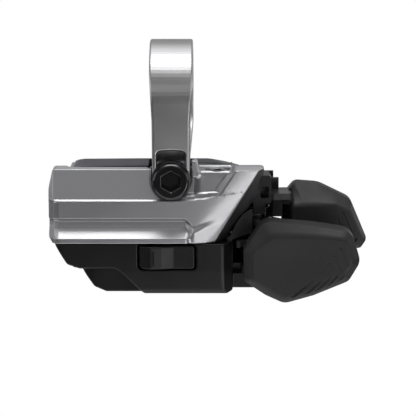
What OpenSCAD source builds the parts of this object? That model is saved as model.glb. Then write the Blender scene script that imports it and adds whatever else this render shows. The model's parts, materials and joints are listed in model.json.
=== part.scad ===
// Wireless shift switch for the right side of a flat handlebar.
// Millimetres. The origin is the centre of the handlebar clamp bore, X runs along the bar
// towards the grip, Y points away from the rider and Z is up.

/* [Handlebar clamp] */
// Diameter of the handlebar that the band grips
bar_d = 22.2; // [22.2:0.1:24]
// Thickness of the band round the bar
band_t = 2.55; // [2.4:0.05:3.4]
// Width of the band over the top and the rear
band_w = 10.1; // [9:0.1:12]
// Width of the band at its ears
ear_w = 8.6; // [8:0.1:9]
// Distance from the bar's centre down to the clamp bolt
bolt_drop = 18.06; // [17.6:0.02:19]
// Thread diameter of the clamp bolt
bolt_d = 5; // [4:0.5:5]
// Head diameter of the clamp bolt
bolt_head_d = 8.46; // [7.5:0.02:8.8]
// Head height of the clamp bolt
bolt_head_h = 3.6; // [3:0.1:4]
// Width across the flats of the bolt's hexagon socket
bolt_hex = 4; // [3:0.5:4]
// Thickness of the ears behind the bolt's head
ear_t = 2.4; // [2:0.1:3]
// Width of the lug between the two ears, along the bolt
lug_t = 5; // [4:0.1:6]

/* [Upper housing] */
// Distance from the bar's centre down to the top of the housing
deck_drop = 15; // [14.8:0.1:16]
// Distance from the bar's centre to the left end
body_left = 28.8; // [27:0.1:32]
// Distance from the bar's centre to the right end of the roof
body_right = 21.7; // [21.4:0.1:22.5]
// Distance from the bar's centre to the flat front band
front_out = 11.4; // [11.2:0.1:12.5]
// Distance from the bar's centre to the rear wall
rear_out = 11; // [10.8:0.1:12]
// Height of the upper housing, roof to parting line
upper_h = 18.1; // [17.8:0.1:19]
// Wall thickness of both housings
wall = 1.6; // [1.2:0.1:1.8]
// Depth of the groove under the front band
groove_depth = 1.1; // [0.6:0.1:1.5]
// How far the rolled shoulder stands out past the front band
shoulder_out = 0.6; // [0.3:0.1:1]
// Lean of the upper front facet, top to bottom
facet_lean = 2.2; // [1.5:0.1:2.6]
// Diameter of the round recess in the boss beside the clamp
boss_bore_d = 6.2; // [5:0.1:6.6]

/* [Lower housing] */
// Height of the lower housing, parting line to underside
lower_h = 12.4; // [12:0.1:14]
// Distance the lower front stands back from the shoulder
lower_inset = 0.5; // [0.3:0.1:1]
// Diameter of the coin cell
cell_d = 16; // [16:0.1:16.4]
// Thickness of the coin cell
cell_h = 3.2; // [2.5:0.1:3.2]
// Clearance round the coin cell
cell_gap = 0.3; // [0.2:0.05:0.5]

/* [Function button] */
// Length of the button
button_l = 13.1; // [12:0.1:14]
// Height of the button
button_h = 5.4; // [4.6:0.1:5.6]
// Thickness of the button's plate
button_t = 1.6; // [1.4:0.1:2]
// Gap between the button and its window
button_gap = 0.35; // [0.3:0.05:0.6]
// Diameter of the pin on which the button rocks
button_pin_d = 1; // [0.8:0.1:1.2]

/* [Levers] */
// Distance from the bar's centre to the lever axle along the bar
axle_x = 19; // [18.6:0.1:19.4]
// Distance from the bar's centre to the lever axle, away from the rider
axle_y = 3; // [2.8:0.1:3.2]
// Diameter of the lever axle
axle_d = 5; // [4.4:0.1:5]
// Radial running clearance of the lever bushes on the axle
run_gap = 0.03; // [0.02:0.01:0.08]
// Wall thickness of the bushes
bush_t = 0.6; // [0.5:0.1:0.8]
// Thickness of the lever arm plates
arm_t = 1.5; // [1.2:0.1:1.8]
// Wire diameter of the return springs
wire_d = 0.7; // [0.5:0.05:0.8]
// Turns in each return spring
spring_turns = 2; // [1:1:3]

/* [Paddles] */
// Thickness of the lower paddle, face to back
lower_pad_t = 9.6; // [8:0.1:10]
// Distance from the bar's centre to the lower paddle's face, towards the rider
lower_pad_out = 16.8; // [16:0.1:18]
// Thickness of the upper paddle, face to back
upper_pad_t = 9.4; // [8:0.1:10]
// Width of the bevel round each paddle's face
bevel_w = 1.7; // [1:0.1:2]
// Depth of the slots moulded in the paddles
slot_depth = 0.5; // [0.3:0.05:0.8]
// Width of the slots moulded in the paddles
slot_w = 0.75; // [0.5:0.05:0.9]
// Thickness of the stiff cores inside the paddles
core_t = 3.4; // [2.6:0.1:3.6]

/* [Hidden] */
$fn = 64;

// Sizes that follow from the driving dimensions
cut = 1;                        // overshoot of every cutting solid
far = 80;                       // length of a solid that cuts right through
clear = 0.3;                    // clearance between bodies that move past each other
bar_r = bar_d / 2;
band_r = bar_r + band_t;
deck_z = -deck_drop;
part_z = deck_z - upper_h;      // parting line between the housings
base_z = part_z - lower_h;
left_x = -body_left;
right_x = body_right;
front_y = -front_out;
shoulder_y = front_y - shoulder_out;
lower_y = shoulder_y + lower_inset + 0.4;
rear_y = rear_out;

// Clamp stack along the bolt, from the rider's side
washer_t = 0.6;
washer_d = 9;
band_bevel = 0.4;
seat_y = -band_r + bolt_head_h - 0.95;
ear_front_y = seat_y + washer_t;
lug_front_y = ear_front_y + ear_t;
lug_rear_y = lug_front_y + lug_t;
ear_rear_y = lug_rear_y + ear_t;
nut_t = 4;
nut_flats = 8;
notch_w = max(band_w, bolt_head_d) + 0.6;
notch_floor_z = -bolt_drop - ear_w / 2 - 0.6;
notch_rear_y = ear_rear_y + nut_t + 0.6;

// Lever stack on the axle, from the top
bracket_t = 1.8;
axle_top_z = deck_z - 3.9;
neck_r = 3.4;
upper_hub_z = axle_top_z - bracket_t - 0.4;
upper_arm_z = deck_z - 7.7;
upper_hub_h = 6.8;
lower_hub_z = upper_hub_z - upper_hub_h - 0.6;
lower_leaf_z = deck_z - 13.9;
lower_arm_z = deck_z - 18;
lower_hub_h = 10.6;
bracket_low_z = lower_hub_z - lower_hub_h - 0.4;
bay_rear_y = rear_y - 2;
bay_left_x = 13.4;

// Lever tongues, plungers and switches
tongue_x = axle_x - 8.5;
tongue_front_y = axle_y - 1.8;
switch_board_y = tongue_front_y - 4.8;
switch_t = 2.6;
switch_w = 4.2;
plunger_d = 1.8;
switch_floor = 0.9;

// Function button
button_right = 5.5;
button_left = button_right - button_l;
button_mid_z = part_z - 3.35;
button_face_y = lower_y;
button_press_x = button_left + 3.4;
button_travel = 0.9;
button_pin_x = button_right - 1.5;
button_pin_y = lower_y + button_t + 1.9;

function unit(v) = v / norm(v);

// Points of an arc that rounds corner p between its neighbours a and b
function corner(a, p, b, r, n) =
    let (u = unit(a - p), w = unit(b - p), half = acos(u * w) / 2,
         c = p + unit(u + w) * r / sin(half), s = p + u * r / tan(half),
         e = p + w * r / tan(half), a0 = atan2(s.y - c.y, s.x - c.x),
         turn = (atan2(e.y - c.y, e.x - c.x) - a0 + 540) % 360 - 180)
    [for (i = [0:n]) c + r * [cos(a0 + turn * i / n), sin(a0 + turn * i / n)]];

// Front-view points drawn from the axle's x and the top of the housing
function at_axle(p) = [for (q = p) [axle_x + q.x, deck_z + q.y, q[2]]];

// Plan points drawn from the axle's centre
function round_axle(p) = [for (q = p) [axle_x + q.x, axle_y + q.y, q[2]]];

// Outline from points [x, y] or [x, y, corner radius]
function rounded(p, n = 4) =
    [for (i = [0:len(p) - 1])
        let (q = p[i], a = p[(i + len(p) - 1) % len(p)], b = p[(i + 1) % len(p)])
        each is_undef(q[2]) ? [[q.x, q.y]]
            : corner([a.x, a.y], [q.x, q.y], [b.x, b.y], q[2], n)];

// Front-view outline (x, z) made solid from y0 to y1
module front_solid(y0, y1, p, n = 4) {
    translate([0, y1, 0]) rotate([90, 0, 0]) linear_extrude(y1 - y0) polygon(rounded(p, n));
}

// Side-view outline (y, z) made solid from x0 to x1
module side_solid(x0, x1, p, n = 4) {
    translate([x0, 0, 0]) rotate([90, 0, 90]) linear_extrude(x1 - x0) polygon(rounded(p, n));
}

// Plan outline (x, y) made solid from z0 to z1
module plan_solid(z0, z1, p, n = 4) {
    translate([0, 0, z0]) linear_extrude(z1 - z0) polygon(rounded(p, n));
}

module block(lo, hi) {
    translate(lo) cube(hi - lo);
}

module rod_y(x, z, y0, y1, d) {
    translate([x, y1, z]) rotate([90, 0, 0]) cylinder(d = d, h = y1 - y0);
}

module rod_z(x, y, z0, z1, d) {
    translate([x, y, z0]) cylinder(d = d, h = z1 - z0);
}

// Everything on the side of a plane to which its normal points
module beyond(p, normal) {
    n = unit(normal);
    translate(p) rotate([0, -asin(n.z), atan2(n.y, n.x)])
        translate([0, -far / 2, -far / 2]) cube(far);
}

// Slanting side plane at the right of the housing, through three named corners
side_a = [20.2, front_y + 1.2, deck_z - 1];
side_b = [11.5, front_y + 1.4, deck_z - 16.7];
side_end_y = front_y + 6.3;      // where the silver side face ends and the bracket begins
side_c = [20.5, side_end_y, deck_z - 7];
side_n = unit(cross(side_b - side_a, side_c - side_a));
side_out = side_n.x > 0 ? side_n : -side_n;

// Clamp band with its ears, one bent and machined piece
module clamp_band() {
    ear_end = -bolt_drop - ear_w / 2;
    color("silver") difference() {
        side_solid(-band_w / 2, band_w / 2, band_outline(ear_end));
        for (s = [-1, 1]) {
            // the band narrows from its full width down to the ears
            front_solid(-band_r - cut, -bar_r / 2,
                [[s * band_w / 2, band_r * 0.6], [s * ear_w / 2, -9], [s * ear_w / 2, -far],
                 [s * band_w, -far], [s * band_w, band_r * 0.6]]);
            // bevelled edges over the top
            translate([s * (band_w / 2 - band_bevel), 0, 0]) rotate([0, s * 90, 0]) difference() {
                cylinder(r = band_r + cut, h = band_bevel + cut);
                translate([0, 0, -cut]) cylinder(r = band_r - band_bevel, h = far);
            }
        }
        // round end of the ears about the bolt
        difference() {
            block([-band_w, -band_r - cut, ear_end - cut], [band_w, ear_rear_y + cut, -bolt_drop]);
            rod_y(0, -bolt_drop, -band_r - 2 * cut, ear_rear_y + 2 * cut, ear_w);
        }
        // pocket over the bolt head, with its round counterbore
        block([-3.4, -band_r - cut, -bolt_drop], [3.4, seat_y, -10.8]);
        rod_y(0, -bolt_drop, -band_r - cut, seat_y, bolt_head_d + 0.5);
        rod_y(0, -bolt_drop, -band_r - cut, ear_front_y, washer_d + 0.2);
        rod_y(0, -bolt_drop, -band_r - 2 * cut, ear_rear_y + cut, bolt_d + 0.4);
        rotate([0, 90, 0]) cylinder(r = bar_r, h = 2 * band_w, center = true);
    }
}

// Side view of the band: round the bar, straight down in front and behind
function band_outline(ear_end) = let (n = 60)
    concat([for (i = [0:n]) let (a = 180 - i * 270 / n) band_r * [cos(a), sin(a)]],
        [[ear_rear_y, -band_r], [ear_rear_y, ear_end], [lug_rear_y, ear_end],
         [lug_rear_y, -bar_r / 3], [lug_front_y, -bar_r / 3], [lug_front_y, ear_end],
         [-band_r, ear_end]]);

module clamp_bolt() {
    color("dimgray") difference() {
        union() {
            translate([0, seat_y, -bolt_drop]) rotate([90, 0, 0]) {
                cylinder(d = bolt_head_d, h = bolt_head_h - 0.5);
                translate([0, 0, bolt_head_h - 0.5])
                    cylinder(d1 = bolt_head_d, d2 = bolt_head_d - 1, h = 0.5);
            }
            rod_y(0, -bolt_drop, seat_y, ear_rear_y + nut_t, bolt_d);
        }
        translate([0, seat_y - bolt_head_h + 2.6, -bolt_drop]) rotate([90, 30, 0])
            cylinder(d = bolt_hex / cos(30), h = 2.6 + cut, $fn = 6);
    }
}

module clamp_washer() {
    color("gray") difference() {
        rod_y(0, -bolt_drop, seat_y, ear_front_y, washer_d);
        rod_y(0, -bolt_drop, seat_y - cut, ear_front_y + cut, bolt_d);
    }
}

module clamp_nut() {
    color("gray") difference() {
        translate([0, ear_rear_y + nut_t, -bolt_drop]) rotate([90, 0, 0])
            cylinder(d = nut_flats / cos(30), h = nut_t, $fn = 6);
        rod_y(0, -bolt_drop, ear_rear_y - cut, ear_rear_y + nut_t + cut, bolt_d);
    }
}

// Section of the front left of the clamp: facet, flat band, groove, rolled shoulder
function left_section() = [
    [front_y + facet_lean + 1, deck_z], [front_y + facet_lean, deck_z - 1, 0.3],
    [front_y + 0.3, deck_z - 7.7, 0.4], [front_y, deck_z - 8.3, 0.4],
    [front_y, deck_z - 12.2, 0.3], [front_y + groove_depth, deck_z - 13.3, 0.8],
    [front_y + groove_depth - 0.3, deck_z - 14.2, 0.8], [shoulder_y, deck_z - 15.1, 1],
    [shoulder_y, deck_z - 16.6, 1], [shoulder_y + 0.9, part_z, 0.3],
    [rear_y, part_z], [rear_y, deck_z]];

// Section right of the clamp, before the large facet is cut
function right_section() = [
    [front_y + 0.9, deck_z], [front_y, deck_z - 0.9, 0.4],
    [front_y, deck_z - 12.2, 0.3], [front_y + groove_depth, deck_z - 13.3, 0.8],
    [front_y + groove_depth - 0.3, deck_z - 14.2, 0.8], [shoulder_y, deck_z - 15.1, 1],
    [shoulder_y, deck_z - 16.6, 1], [shoulder_y + 0.9, part_z, 0.3],
    [rear_y, part_z], [rear_y, deck_z]];

// Large facet right of the clamp, turned towards the grip
facet_foot = [5.7, front_y, deck_z - 13.9];
facet_turn = 13;
facet_out = [0.845 * tan(facet_turn), -1, -0.535 * tan(facet_turn)];

// Front view of the silver housing, left to right
function upper_outline() = [
    [left_x + 1.1, part_z, 0.5], [left_x, part_z + 1.4, 0.8], [left_x, deck_z - 5.7, 2],
    [left_x + 1, deck_z - 1.2, 0.8], [left_x + 2.2, deck_z, 0.8],
    [right_x, deck_z, 0.9], [right_x, deck_z - 2.3, 0.4], [right_x - 1.2, deck_z - 3.2],
    [right_x - 1.2, deck_z - 9.9], [18.6, deck_z - 10.7], [16.6, deck_z - 11.8, 1.5],
    [15, deck_z - 14], [13, part_z]];

// Plan of the silver housing: soft left corners and a straight back
function upper_plan() = [
    [left_x, shoulder_y, 2.2], [right_x, shoulder_y], [right_x, rear_y, 2],
    [left_x, rear_y, 3]];

module upper_form() {
    split_x = 5;
    difference() {
        intersection() {
            union() {
                side_solid(left_x, split_x, left_section());
                side_solid(split_x, right_x, right_section());
            }
            front_solid(-far, far, upper_outline());
            plan_solid(part_z, deck_z, upper_plan());
        }
        beyond(facet_foot, facet_out);
        // pocket that leaves the boss standing beside the clamp, and the boss's lower top
        intersection() {
            front_solid(-far, front_y + 1.2, boss_outline());
            side_solid(notch_w / 2 - 1, boss_right + cut, [[-far, boss_foot_z - 1.2],
                [front_y, boss_foot_z - 1.2, 0.8], [front_y + 1.2, boss_foot_z],
                [front_y + 1.2, cut], [-far, cut]]);
        }
        block([notch_w / 2, -far, deck_z - 1], [boss_right, cover_front_right_y, deck_z + cut]);
        // the roof falls away behind the silver strips at both ends
        side_solid(left_x - cut, left_x + 4.4, [[cover_front_y, deck_z - 0.2],
            [rear_y + cut, deck_z - 0.2 - roof_fall], [rear_y + cut, cut], [cover_front_y, cut]]);
        side_solid(cover_right, right_x + cut, [[cover_front_y, deck_z - 0.2],
            [rear_y + cut, deck_z - 0.2 - roof_fall], [rear_y + cut, cut], [cover_front_y, cut]]);
    }
}

roof_fall = 3.5;
boss_right = 14.4;
boss_foot_z = deck_z - 6;
cover_front_right_y = -3.3;

// Front view of the boss's pocket, its right side sloping outwards
function boss_outline() = [[notch_w / 2 - 1, cut], [notch_w / 2 - 1, boss_foot_z - 2],
    [boss_right - 1, boss_foot_z - 2, 1.5], [boss_right - 1, deck_z - 4, 2],
    [boss_right, deck_z - 2], [boss_right, cut]];

// Wedge that hugs the band, right of the clamp
module band_wedge() {
    front_solid(seat_y + 0.4, seat_y + 5, [[4.6, notch_floor_z + 2], [4.6, -13.5, 0.4], [5.9, -13.7, 0.4],
        [7, deck_z - 1.2], [7, notch_floor_z + 2]]);
}

boss_x = 10.8;
boss_y = -7;
cover_t = 2.2;
roof_z = deck_z - cover_t - wall;

// Inside of the silver housing, with the lever bay open to the right
module upper_hollow() {
    block([left_x + 4.4 + wall, front_y + facet_lean + wall, part_z - cut],
        [-notch_w / 2 - wall, rear_y - wall, roof_z]);
    block([left_x + wall, front_y + groove_depth + wall, part_z - cut],
        [bay_left_x, rear_y - wall, notch_floor_z - wall]);
    block([notch_w / 2 + wall, -5.2, part_z - cut], [bay_left_x + cut, bay_rear_y, roof_z]);
    difference() {
        block([bay_left_x, -8.4, part_z - cut], [far, bay_rear_y, axle_top_z]);
        beyond(side_a - side_out * wall, side_out);
    }
    block([bay_left_x, side_end_y, part_z - cut], [far, bay_rear_y, axle_top_z]);
    block([right_x - 1.3, -far, part_z - cut], [far, bay_rear_y, axle_top_z + 0.9]);
}

module top_housing() {
    color("silver") difference() {
        union() {
            difference() {
                upper_form();
                beyond(side_a, side_out);
                upper_hollow();
            }
            band_wedge();
            // lug between the ears, under the bar
            difference() {
                block([-ear_w / 2 + 0.2, lug_front_y, notch_floor_z - cut],
                    [ear_w / 2 - 0.2, lug_rear_y, -bar_r / 2]);
                rotate([0, 90, 0]) cylinder(r = bar_r + 0.1, h = far, center = true);
            }
            for (p = screw_places) rod_z(p.x, p.y, part_z, roof_z + 0.2, post_d);
        }
        // notch for the clamp, open to the front and the top
        difference() {
            block([-notch_w / 2, -far, notch_floor_z], [notch_w / 2, notch_rear_y, deck_z + cut]);
            block([-ear_w / 2 + 0.2, lug_front_y, -far], [ear_w / 2 - 0.2, lug_rear_y, 0]);
        }
        rod_y(0, -bolt_drop, lug_front_y - cut, lug_rear_y + cut, bolt_d + 0.4);
        // step on which the dark cover lies
        plan_solid(deck_z - cover_t, deck_z + cut, cover_plan(0.1));
        for (p = screw_places) rod_z(p.x, p.y, part_z - cut, part_z + 3.2, screw_d);
        // recess and screw hole in the boss
        rod_z(boss_x, boss_y, deck_z - 2.4, deck_z + cut, boss_bore_d);
        rod_z(boss_x, boss_y, deck_z - 5.4, deck_z + cut, 2.4);
        // seat of the pivot axle under the roof
        rod_z(axle_x, axle_y, axle_top_z - cut, axle_top_z + 0.9, axle_d);
    }
}

cover_front_y = front_y + 3.9;
cover_right = 16.3;

// Plan of the step and of the cover on it, less g all round
function cover_plan(g) = [
    [left_x + 4.4 - g, cover_front_y - g, 1], [-notch_w / 2, cover_front_y - g],
    [-notch_w / 2, notch_rear_y], [notch_w / 2, notch_rear_y], [notch_w / 2, -3 - g],
    [cover_right - 2 + g, -3 - g, 1.2], [cover_right + g, 1, 2],
    [cover_right + g, rear_y + cut], [left_x + 4.4 - g, rear_y + cut]];

module antenna_cover() {
    color([0.29, 0.29, 0.34]) difference() {
        intersection() {
            union() {
                plan_solid(deck_z - cover_t, deck_z, cover_plan(0));
                // skirt down the back
                front_solid(rear_y, rear_y + wall, [[left_x + 4.4, part_z + 3, 2],
                    [left_x + 4.4, deck_z], [cover_right, deck_z], [cover_right, part_z + 3, 2]]);
            }
            // crowned top, falling to both ends and to the back
            front_solid(-far, far, [[left_x + 4.4, -far], [left_x + 4.4, deck_z - 1.5, 0.6],
                [left_x + 7, deck_z - 0.5, 2], [-8, deck_z, 8], [10, deck_z, 6],
                [cover_right, deck_z - 1.5], [cover_right, -far]]);
            side_solid(-far, far, [[-far, -far], [-far, deck_z], [3, deck_z, 8],
                [rear_y + wall, deck_z - 2, 1], [rear_y + wall, -far]]);
        }
        // clearance for the round of the band and for the nut
        block([-notch_w / 2, -far, deck_z - 8], [notch_w / 2, notch_rear_y, deck_z + cut]);
    }
}

module boss_screw() {
    color("dimgray") difference() {
        union() {
            rod_z(boss_x, boss_y, deck_z - 2.4, deck_z - 1.2, 4.4);
            rod_z(boss_x, boss_y, deck_z - 5.2, deck_z - 2.4, 2.4);
        }
        translate([boss_x, boss_y, deck_z - 2]) cylinder(d = 2, h = 3, $fn = 6);
    }
}

// Front view of the black housing; behind its front wall the lower left is the battery's
cell_x = -9.4;
cell_y = 0.9;
cover_left = -21.5;
lid_right = cell_x + cell_d / 2 + cell_gap + 0.8;
ridge_z = part_z - 6;           // edge of the front wall over the battery cover
lid_z = ridge_z - 0.4;          // parting height of the battery cover
front_wall_t = 3.1;
lid_front_y = lower_y + front_wall_t;

function lower_outline() = [
    [left_x + 1, part_z], [left_x + 4.2, part_z - 5, 1.4], [cover_left, ridge_z, 1],
    [-12.9, ridge_z, 2], [-10.4, ridge_z - 2.2, 1], [-6.3, base_z, 0.5],
    [12.8, base_z, 0.5], [17.3, base_z + 1.6], [17.3, part_z]];

// Plan of the black housing, with its receding right front corner
function lower_plan(g = 0) = [
    [left_x + 1.2 + g, lower_y + g, 2.4], [12.2 - g, lower_y + g, 1.2],
    [lower_right - g, -7.6 + g, 1.2], [lower_right - g, rear_y - g, 1],
    [left_x + 1.2 + g, rear_y - g, 3]];

lower_right = 14.4;
cheek_top_z = lower_arm_z - arm_t - 0.7;

module lower_housing() {
    post_top = part_z - seal_h - 0.1;
    color([0.12, 0.12, 0.12]) difference() {
        union() {
            difference() {
                intersection() {
                    front_solid(-far, far, lower_outline());
                    plan_solid(base_z, part_z, lower_plan());
                }
                // hollow inside
                intersection() {
                    front_solid(-far, far, [[left_x + 1 + wall, part_z + cut],
                        [left_x + 1 + wall, part_z], [left_x + 4.4 + wall, lid_z + wall],
                        [lid_right + wall, lid_z + wall], [lid_right + wall, base_z + wall],
                        [far, base_z + wall], [far, part_z + cut]]);
                    plan_solid(base_z, part_z + cut, lower_plan(wall));
                }
                // room of the battery cover
                block([-far, lid_front_y, base_z - cut], [lid_right, far, lid_z]);
            }
            // cheek beside the lower paddle
            intersection() {
                front_solid(-far, far, lower_outline());
                plan_solid(base_z, cheek_top_z, [[lower_right - 0.8, -7.1], [lower_right + 2, -5.5, 0.6],
                    [lower_right + 2, -3.4], [lower_right - 0.8, -3.4]]);
            }
            // rear wall and tongue of the floor about the lever bay
            block([12, bay_rear_y, base_z + 2.2], [20.4, rear_y, part_z]);
            plan_solid(base_z + 0.6, bracket_low_z - bracket_t, [[12, -5], [20.6, -5, 2],
                [22.6, axle_y, 3], [20.6, rear_y - 0.6, 2], [12, rear_y - 0.6]]);
            // post behind the button window that holds the rocking pin
            block([button_pin_x - 1.1, lower_y + wall - 0.6, button_mid_z - button_h / 2 - 1],
                [button_right + button_gap + 1.2, button_pin_y + 1.2, part_z - seal_h - 0.1]);
            for (p = screw_places) rod_z(p.x, p.y, lid_z + 0.6, post_top, post_d);
        }
        // window of the function button, and its ways in
        front_solid(-far, lower_y + button_t + button_travel + clear, [
            [button_left - button_gap, button_mid_z - button_h / 2 - button_gap, 1.2],
            [button_left - button_gap, button_mid_z + button_h / 2 + button_gap, 0.4],
            [button_right + button_gap, button_mid_z + button_h / 2 + button_gap, 0.7],
            [button_right + button_gap, button_mid_z - button_h / 2 - button_gap, 0.9]]);
        block([button_pin_x - 1.1 - cut, lower_y + wall - cut, button_mid_z - 0.9],
            [button_right, button_pin_y + 1.2 + cut, button_mid_z + 0.9]);
        rod_z(button_pin_x, button_pin_y, button_mid_z - 2.2, button_mid_z + 2.2, button_pin_d);
        // way through for the lever tongues
        block([lower_right - wall - cut, tongue_front_y - 1.8, bracket_low_z],
            [lower_right + 0.01, axle_y + 3, part_z + cut]);
        rod_z(axle_x, axle_y, bracket_low_z - bracket_t - 1, bracket_low_z - bracket_t + cut, axle_d + 3);
        // passage from the cell to the boards
        block([cell_x - 2.5, cell_y + cell_d / 2 - 4, lid_z - cut],
            [cell_x + 2.5, cell_y + cell_d / 2 - 1, lid_z + wall + cut]);
        for (p = screw_places) rod_z(p.x, p.y, lid_z - cut, part_z + cut, screw_d);
        rod_z(lid_screw_x, lid_screw_y, lid_z - cut, lid_z + 1.2, 2);
    }
}

seal_h = 0.35;
seal_w = 0.7;
screw_d = 1.8;
post_d = 4.2;
screw_inset = 1.9;
screw_places = [[left_x + 6.6, lower_y + wall + screw_inset],
    [left_x + 6.6, rear_y - wall - screw_inset], [4, rear_y - wall - screw_inset]];

module housing_screws() {
    color("gray") for (p = screw_places) rod_z(p.x, p.y, lid_z + 0.2, part_z + 3, screw_d);
}

// Flat seal that lies in the parting line, inside the walls
module housing_gasket() {
    color([0.2, 0.2, 0.2]) translate([0, 0, part_z - seal_h]) linear_extrude(seal_h) difference() {
        polygon(rounded(seal_plan(0)));
        polygon(rounded(seal_plan(seal_w)));
    }
}

function seal_plan(g) = [
    [left_x + 3.1 + g, lower_y + wall + 0.05 + g, 2.4 - g], [8 - g, lower_y + wall + 0.05 + g, 1.6 - g],
    [8 - g, rear_y - wall - 0.05 - g, 1.6 - g], [left_x + 3.1 + g, rear_y - wall - 0.05 - g, 2.4 - g]];

// Small dark plate under the silver side face, upright and turned towards the grip
module side_cover() {
    color([0.24, 0.24, 0.25]) intersection() {
        front_solid(front_y - 4, 0, [[13.3, part_z + 0.2, 0.5], [15.2, deck_z - 13.9],
            [16.8, deck_z - 11.9, 1.5], [18.7, deck_z - 10.9], [19, deck_z - 10.9],
            [19, deck_z - 16.6, 0.4]]);
        plan_solid(part_z, deck_z, [[12.6, side_plate_y - 3.6], [19, side_plate_y],
            [19, side_plate_y + 1.1], [12.6, side_plate_y - 2.2]]);
    }
}

side_plate_y = side_end_y - 0.2;

// Carrier of the axle: roof, floor, rear web and front cheek with its window
module lever_bracket() {
    color([0.14, 0.14, 0.15]) difference() {
        union() {
            plan_solid(axle_top_z - bracket_t, axle_top_z, bracket_plan());
            plan_solid(bracket_low_z - bracket_t, bracket_low_z, bracket_plan());
            block([bay_left_x + 1, bay_rear_y - 1.2, bracket_low_z], [axle_x + 5.3, bay_rear_y, axle_top_z]);
            front_solid(cheek_y, cheek_y + 1.4, at_axle([[1.8, -3.9], [1.8, -3, 0.3], [4.2, -3, 0.5],
                [4.5, -3.9], [4.5, -9.5, 0.4], [3.1, -9.7], [3.1, -12.2], [0.3, -12.2], [0.3, -9.5],
                [-2, -9.5], [-2, -3.9]]));
        }
        front_solid(cheek_y - cut, cheek_y + 1.4 + cut, at_axle([[1.9, -8.4, 0.3], [1.9, -5.7, 0.3],
            [3.9, -5.7, 0.3], [3.9, -8.4, 0.3]]));
        rod_z(axle_x, axle_y, bracket_low_z - far, axle_top_z + cut, axle_d);
    }
}

cheek_y = side_end_y + 0.3;       // front of the bracket's cheek

function bracket_plan() = [[bay_left_x + 1, axle_y - 5], [axle_x - 2.3, axle_y - 5],
    [axle_x - 2.3, cheek_y], [axle_x + 4.5, cheek_y, 1], [axle_x + 4.5, axle_y, 3],
    [axle_x + 3.9, bay_rear_y], [bay_left_x + 1, bay_rear_y]];

// Coin cell, its contacts and its cover
cell_z = lid_z - 1.4;
lid_screw_x = -17.2;
lid_screw_y = 8.2;

module coin_cell() {
    color("silver") {
        rod_z(cell_x, cell_y, cell_z - cell_h, cell_z - 0.6, cell_d);
        rod_z(cell_x, cell_y, cell_z - 0.6, cell_z, cell_d - 2.4);
    }
}

module battery_cover() {
    color([0.13, 0.13, 0.13]) difference() {
        intersection() {
            front_solid(lid_front_y, rear_y, [[cover_left, lid_z], [-18.2, base_z + 1.5, 1.5],
                [-15.4, base_z + 0.3, 1], [lid_right, base_z + 0.3], [lid_right, lid_z]]);
            plan_solid(-far, lid_z, [[cover_left, lid_front_y, 3], [lid_right, lid_front_y],
                [lid_right, rear_y - 0.6], [cover_left, rear_y - 0.6, 3]]);
        }
        rod_z(cell_x, cell_y, cell_z - cell_h, lid_z + cut, cell_d + 2 * cell_gap);
        rod_z(lid_screw_x, lid_screw_y, -far, far, 2.2);
        rod_z(lid_screw_x, lid_screw_y, -far, base_z + 2.3, 3.8);
    }
}

module battery_seal() {
    color("black") difference() {
        rod_z(cell_x, cell_y, lid_z - 1.1, lid_z, cell_d + 2 * cell_gap);
        rod_z(cell_x, cell_y, lid_z - 1.1 - cut, lid_z + cut, cell_d - 1);
    }
}

module battery_cover_screw() {
    color("gray") difference() {
        union() {
            rod_z(lid_screw_x, lid_screw_y, base_z + 1.2, base_z + 2.3, 3.6);
            rod_z(lid_screw_x, lid_screw_y, base_z + 2.3, lid_z + 1.2, 2);
        }
        translate([lid_screw_x, lid_screw_y, base_z]) cylinder(d = 1.8, h = 1.9, $fn = 6);
    }
}

module battery_contact_plus() {
    color("gold") block([cell_x - 1.5, cell_y + cell_d / 2 - 3.4, cell_z],
        [cell_x + 1.5, cell_y + cell_d / 2 - 1.4, board_z]);
}

module battery_contact_minus() {
    color("gold") block([cell_x - 2, cell_y - 4, cell_z], [cell_x + 2, cell_y + 3, lid_z]);
}

// Boards, radio and switches
board_t = 1;
board_z = part_z + 2.5;

module main_board() {
    color("darkgreen") difference() {
        plan_solid(board_z, board_z + board_t, [[left_x + wall + 0.4, -7.8, 1], [7.6, -7.8, 1],
            [7.6, 8.6, 1], [left_x + wall + 0.4, 8.6, 1]]);
        for (p = screw_places) rod_z(p.x, p.y, board_z - cut, board_z + board_t + cut, post_d + 0.4);
    }
}

module radio_module() {
    color("lightgray") block([left_x + 5, -4.5, board_z + board_t],
        [left_x + 17, 4.5, board_z + board_t + 1.8]);
}

module switch_board() {
    color("darkgreen") front_solid(switch_board_y - board_t, switch_board_y, [
        [-8, lid_z + wall + 0.1], [12.4, lid_z + wall + 0.1], [12.4, upper_arm_z + 1.4],
        [8.2, upper_arm_z + 1.4], [8.2, part_z - seal_h - 0.1], [-8, part_z - seal_h - 0.1]]);
}

// Small switch on the board's rear side, at height z
module lever_switch(z) {
    color("black") difference() {
        block([tongue_x - switch_w / 2, switch_board_y, z - switch_w / 2],
            [tongue_x + switch_w / 2 - 0.2, switch_board_y + switch_t, z + switch_w / 2]);
        rod_y(tongue_x, z, switch_board_y + switch_floor, switch_board_y + switch_t + cut,
            plunger_d + 0.2);
    }
}

module lever_plunger(z) {
    color("white") rod_y(tongue_x, z, switch_board_y + switch_floor + 1.1,
        tongue_front_y - clear, plunger_d);
}

button_press_z = lid_z + wall + 0.1 + switch_w / 2;
upper_press_z = upper_arm_z - arm_t / 2;
lower_press_z = lower_arm_z - arm_t / 2;

module upper_switch() { lever_switch(upper_press_z); }
module lower_switch() { lever_switch(lower_press_z); }
module upper_plunger() { lever_plunger(upper_press_z); }
module lower_plunger() { lever_plunger(lower_press_z); }

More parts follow.
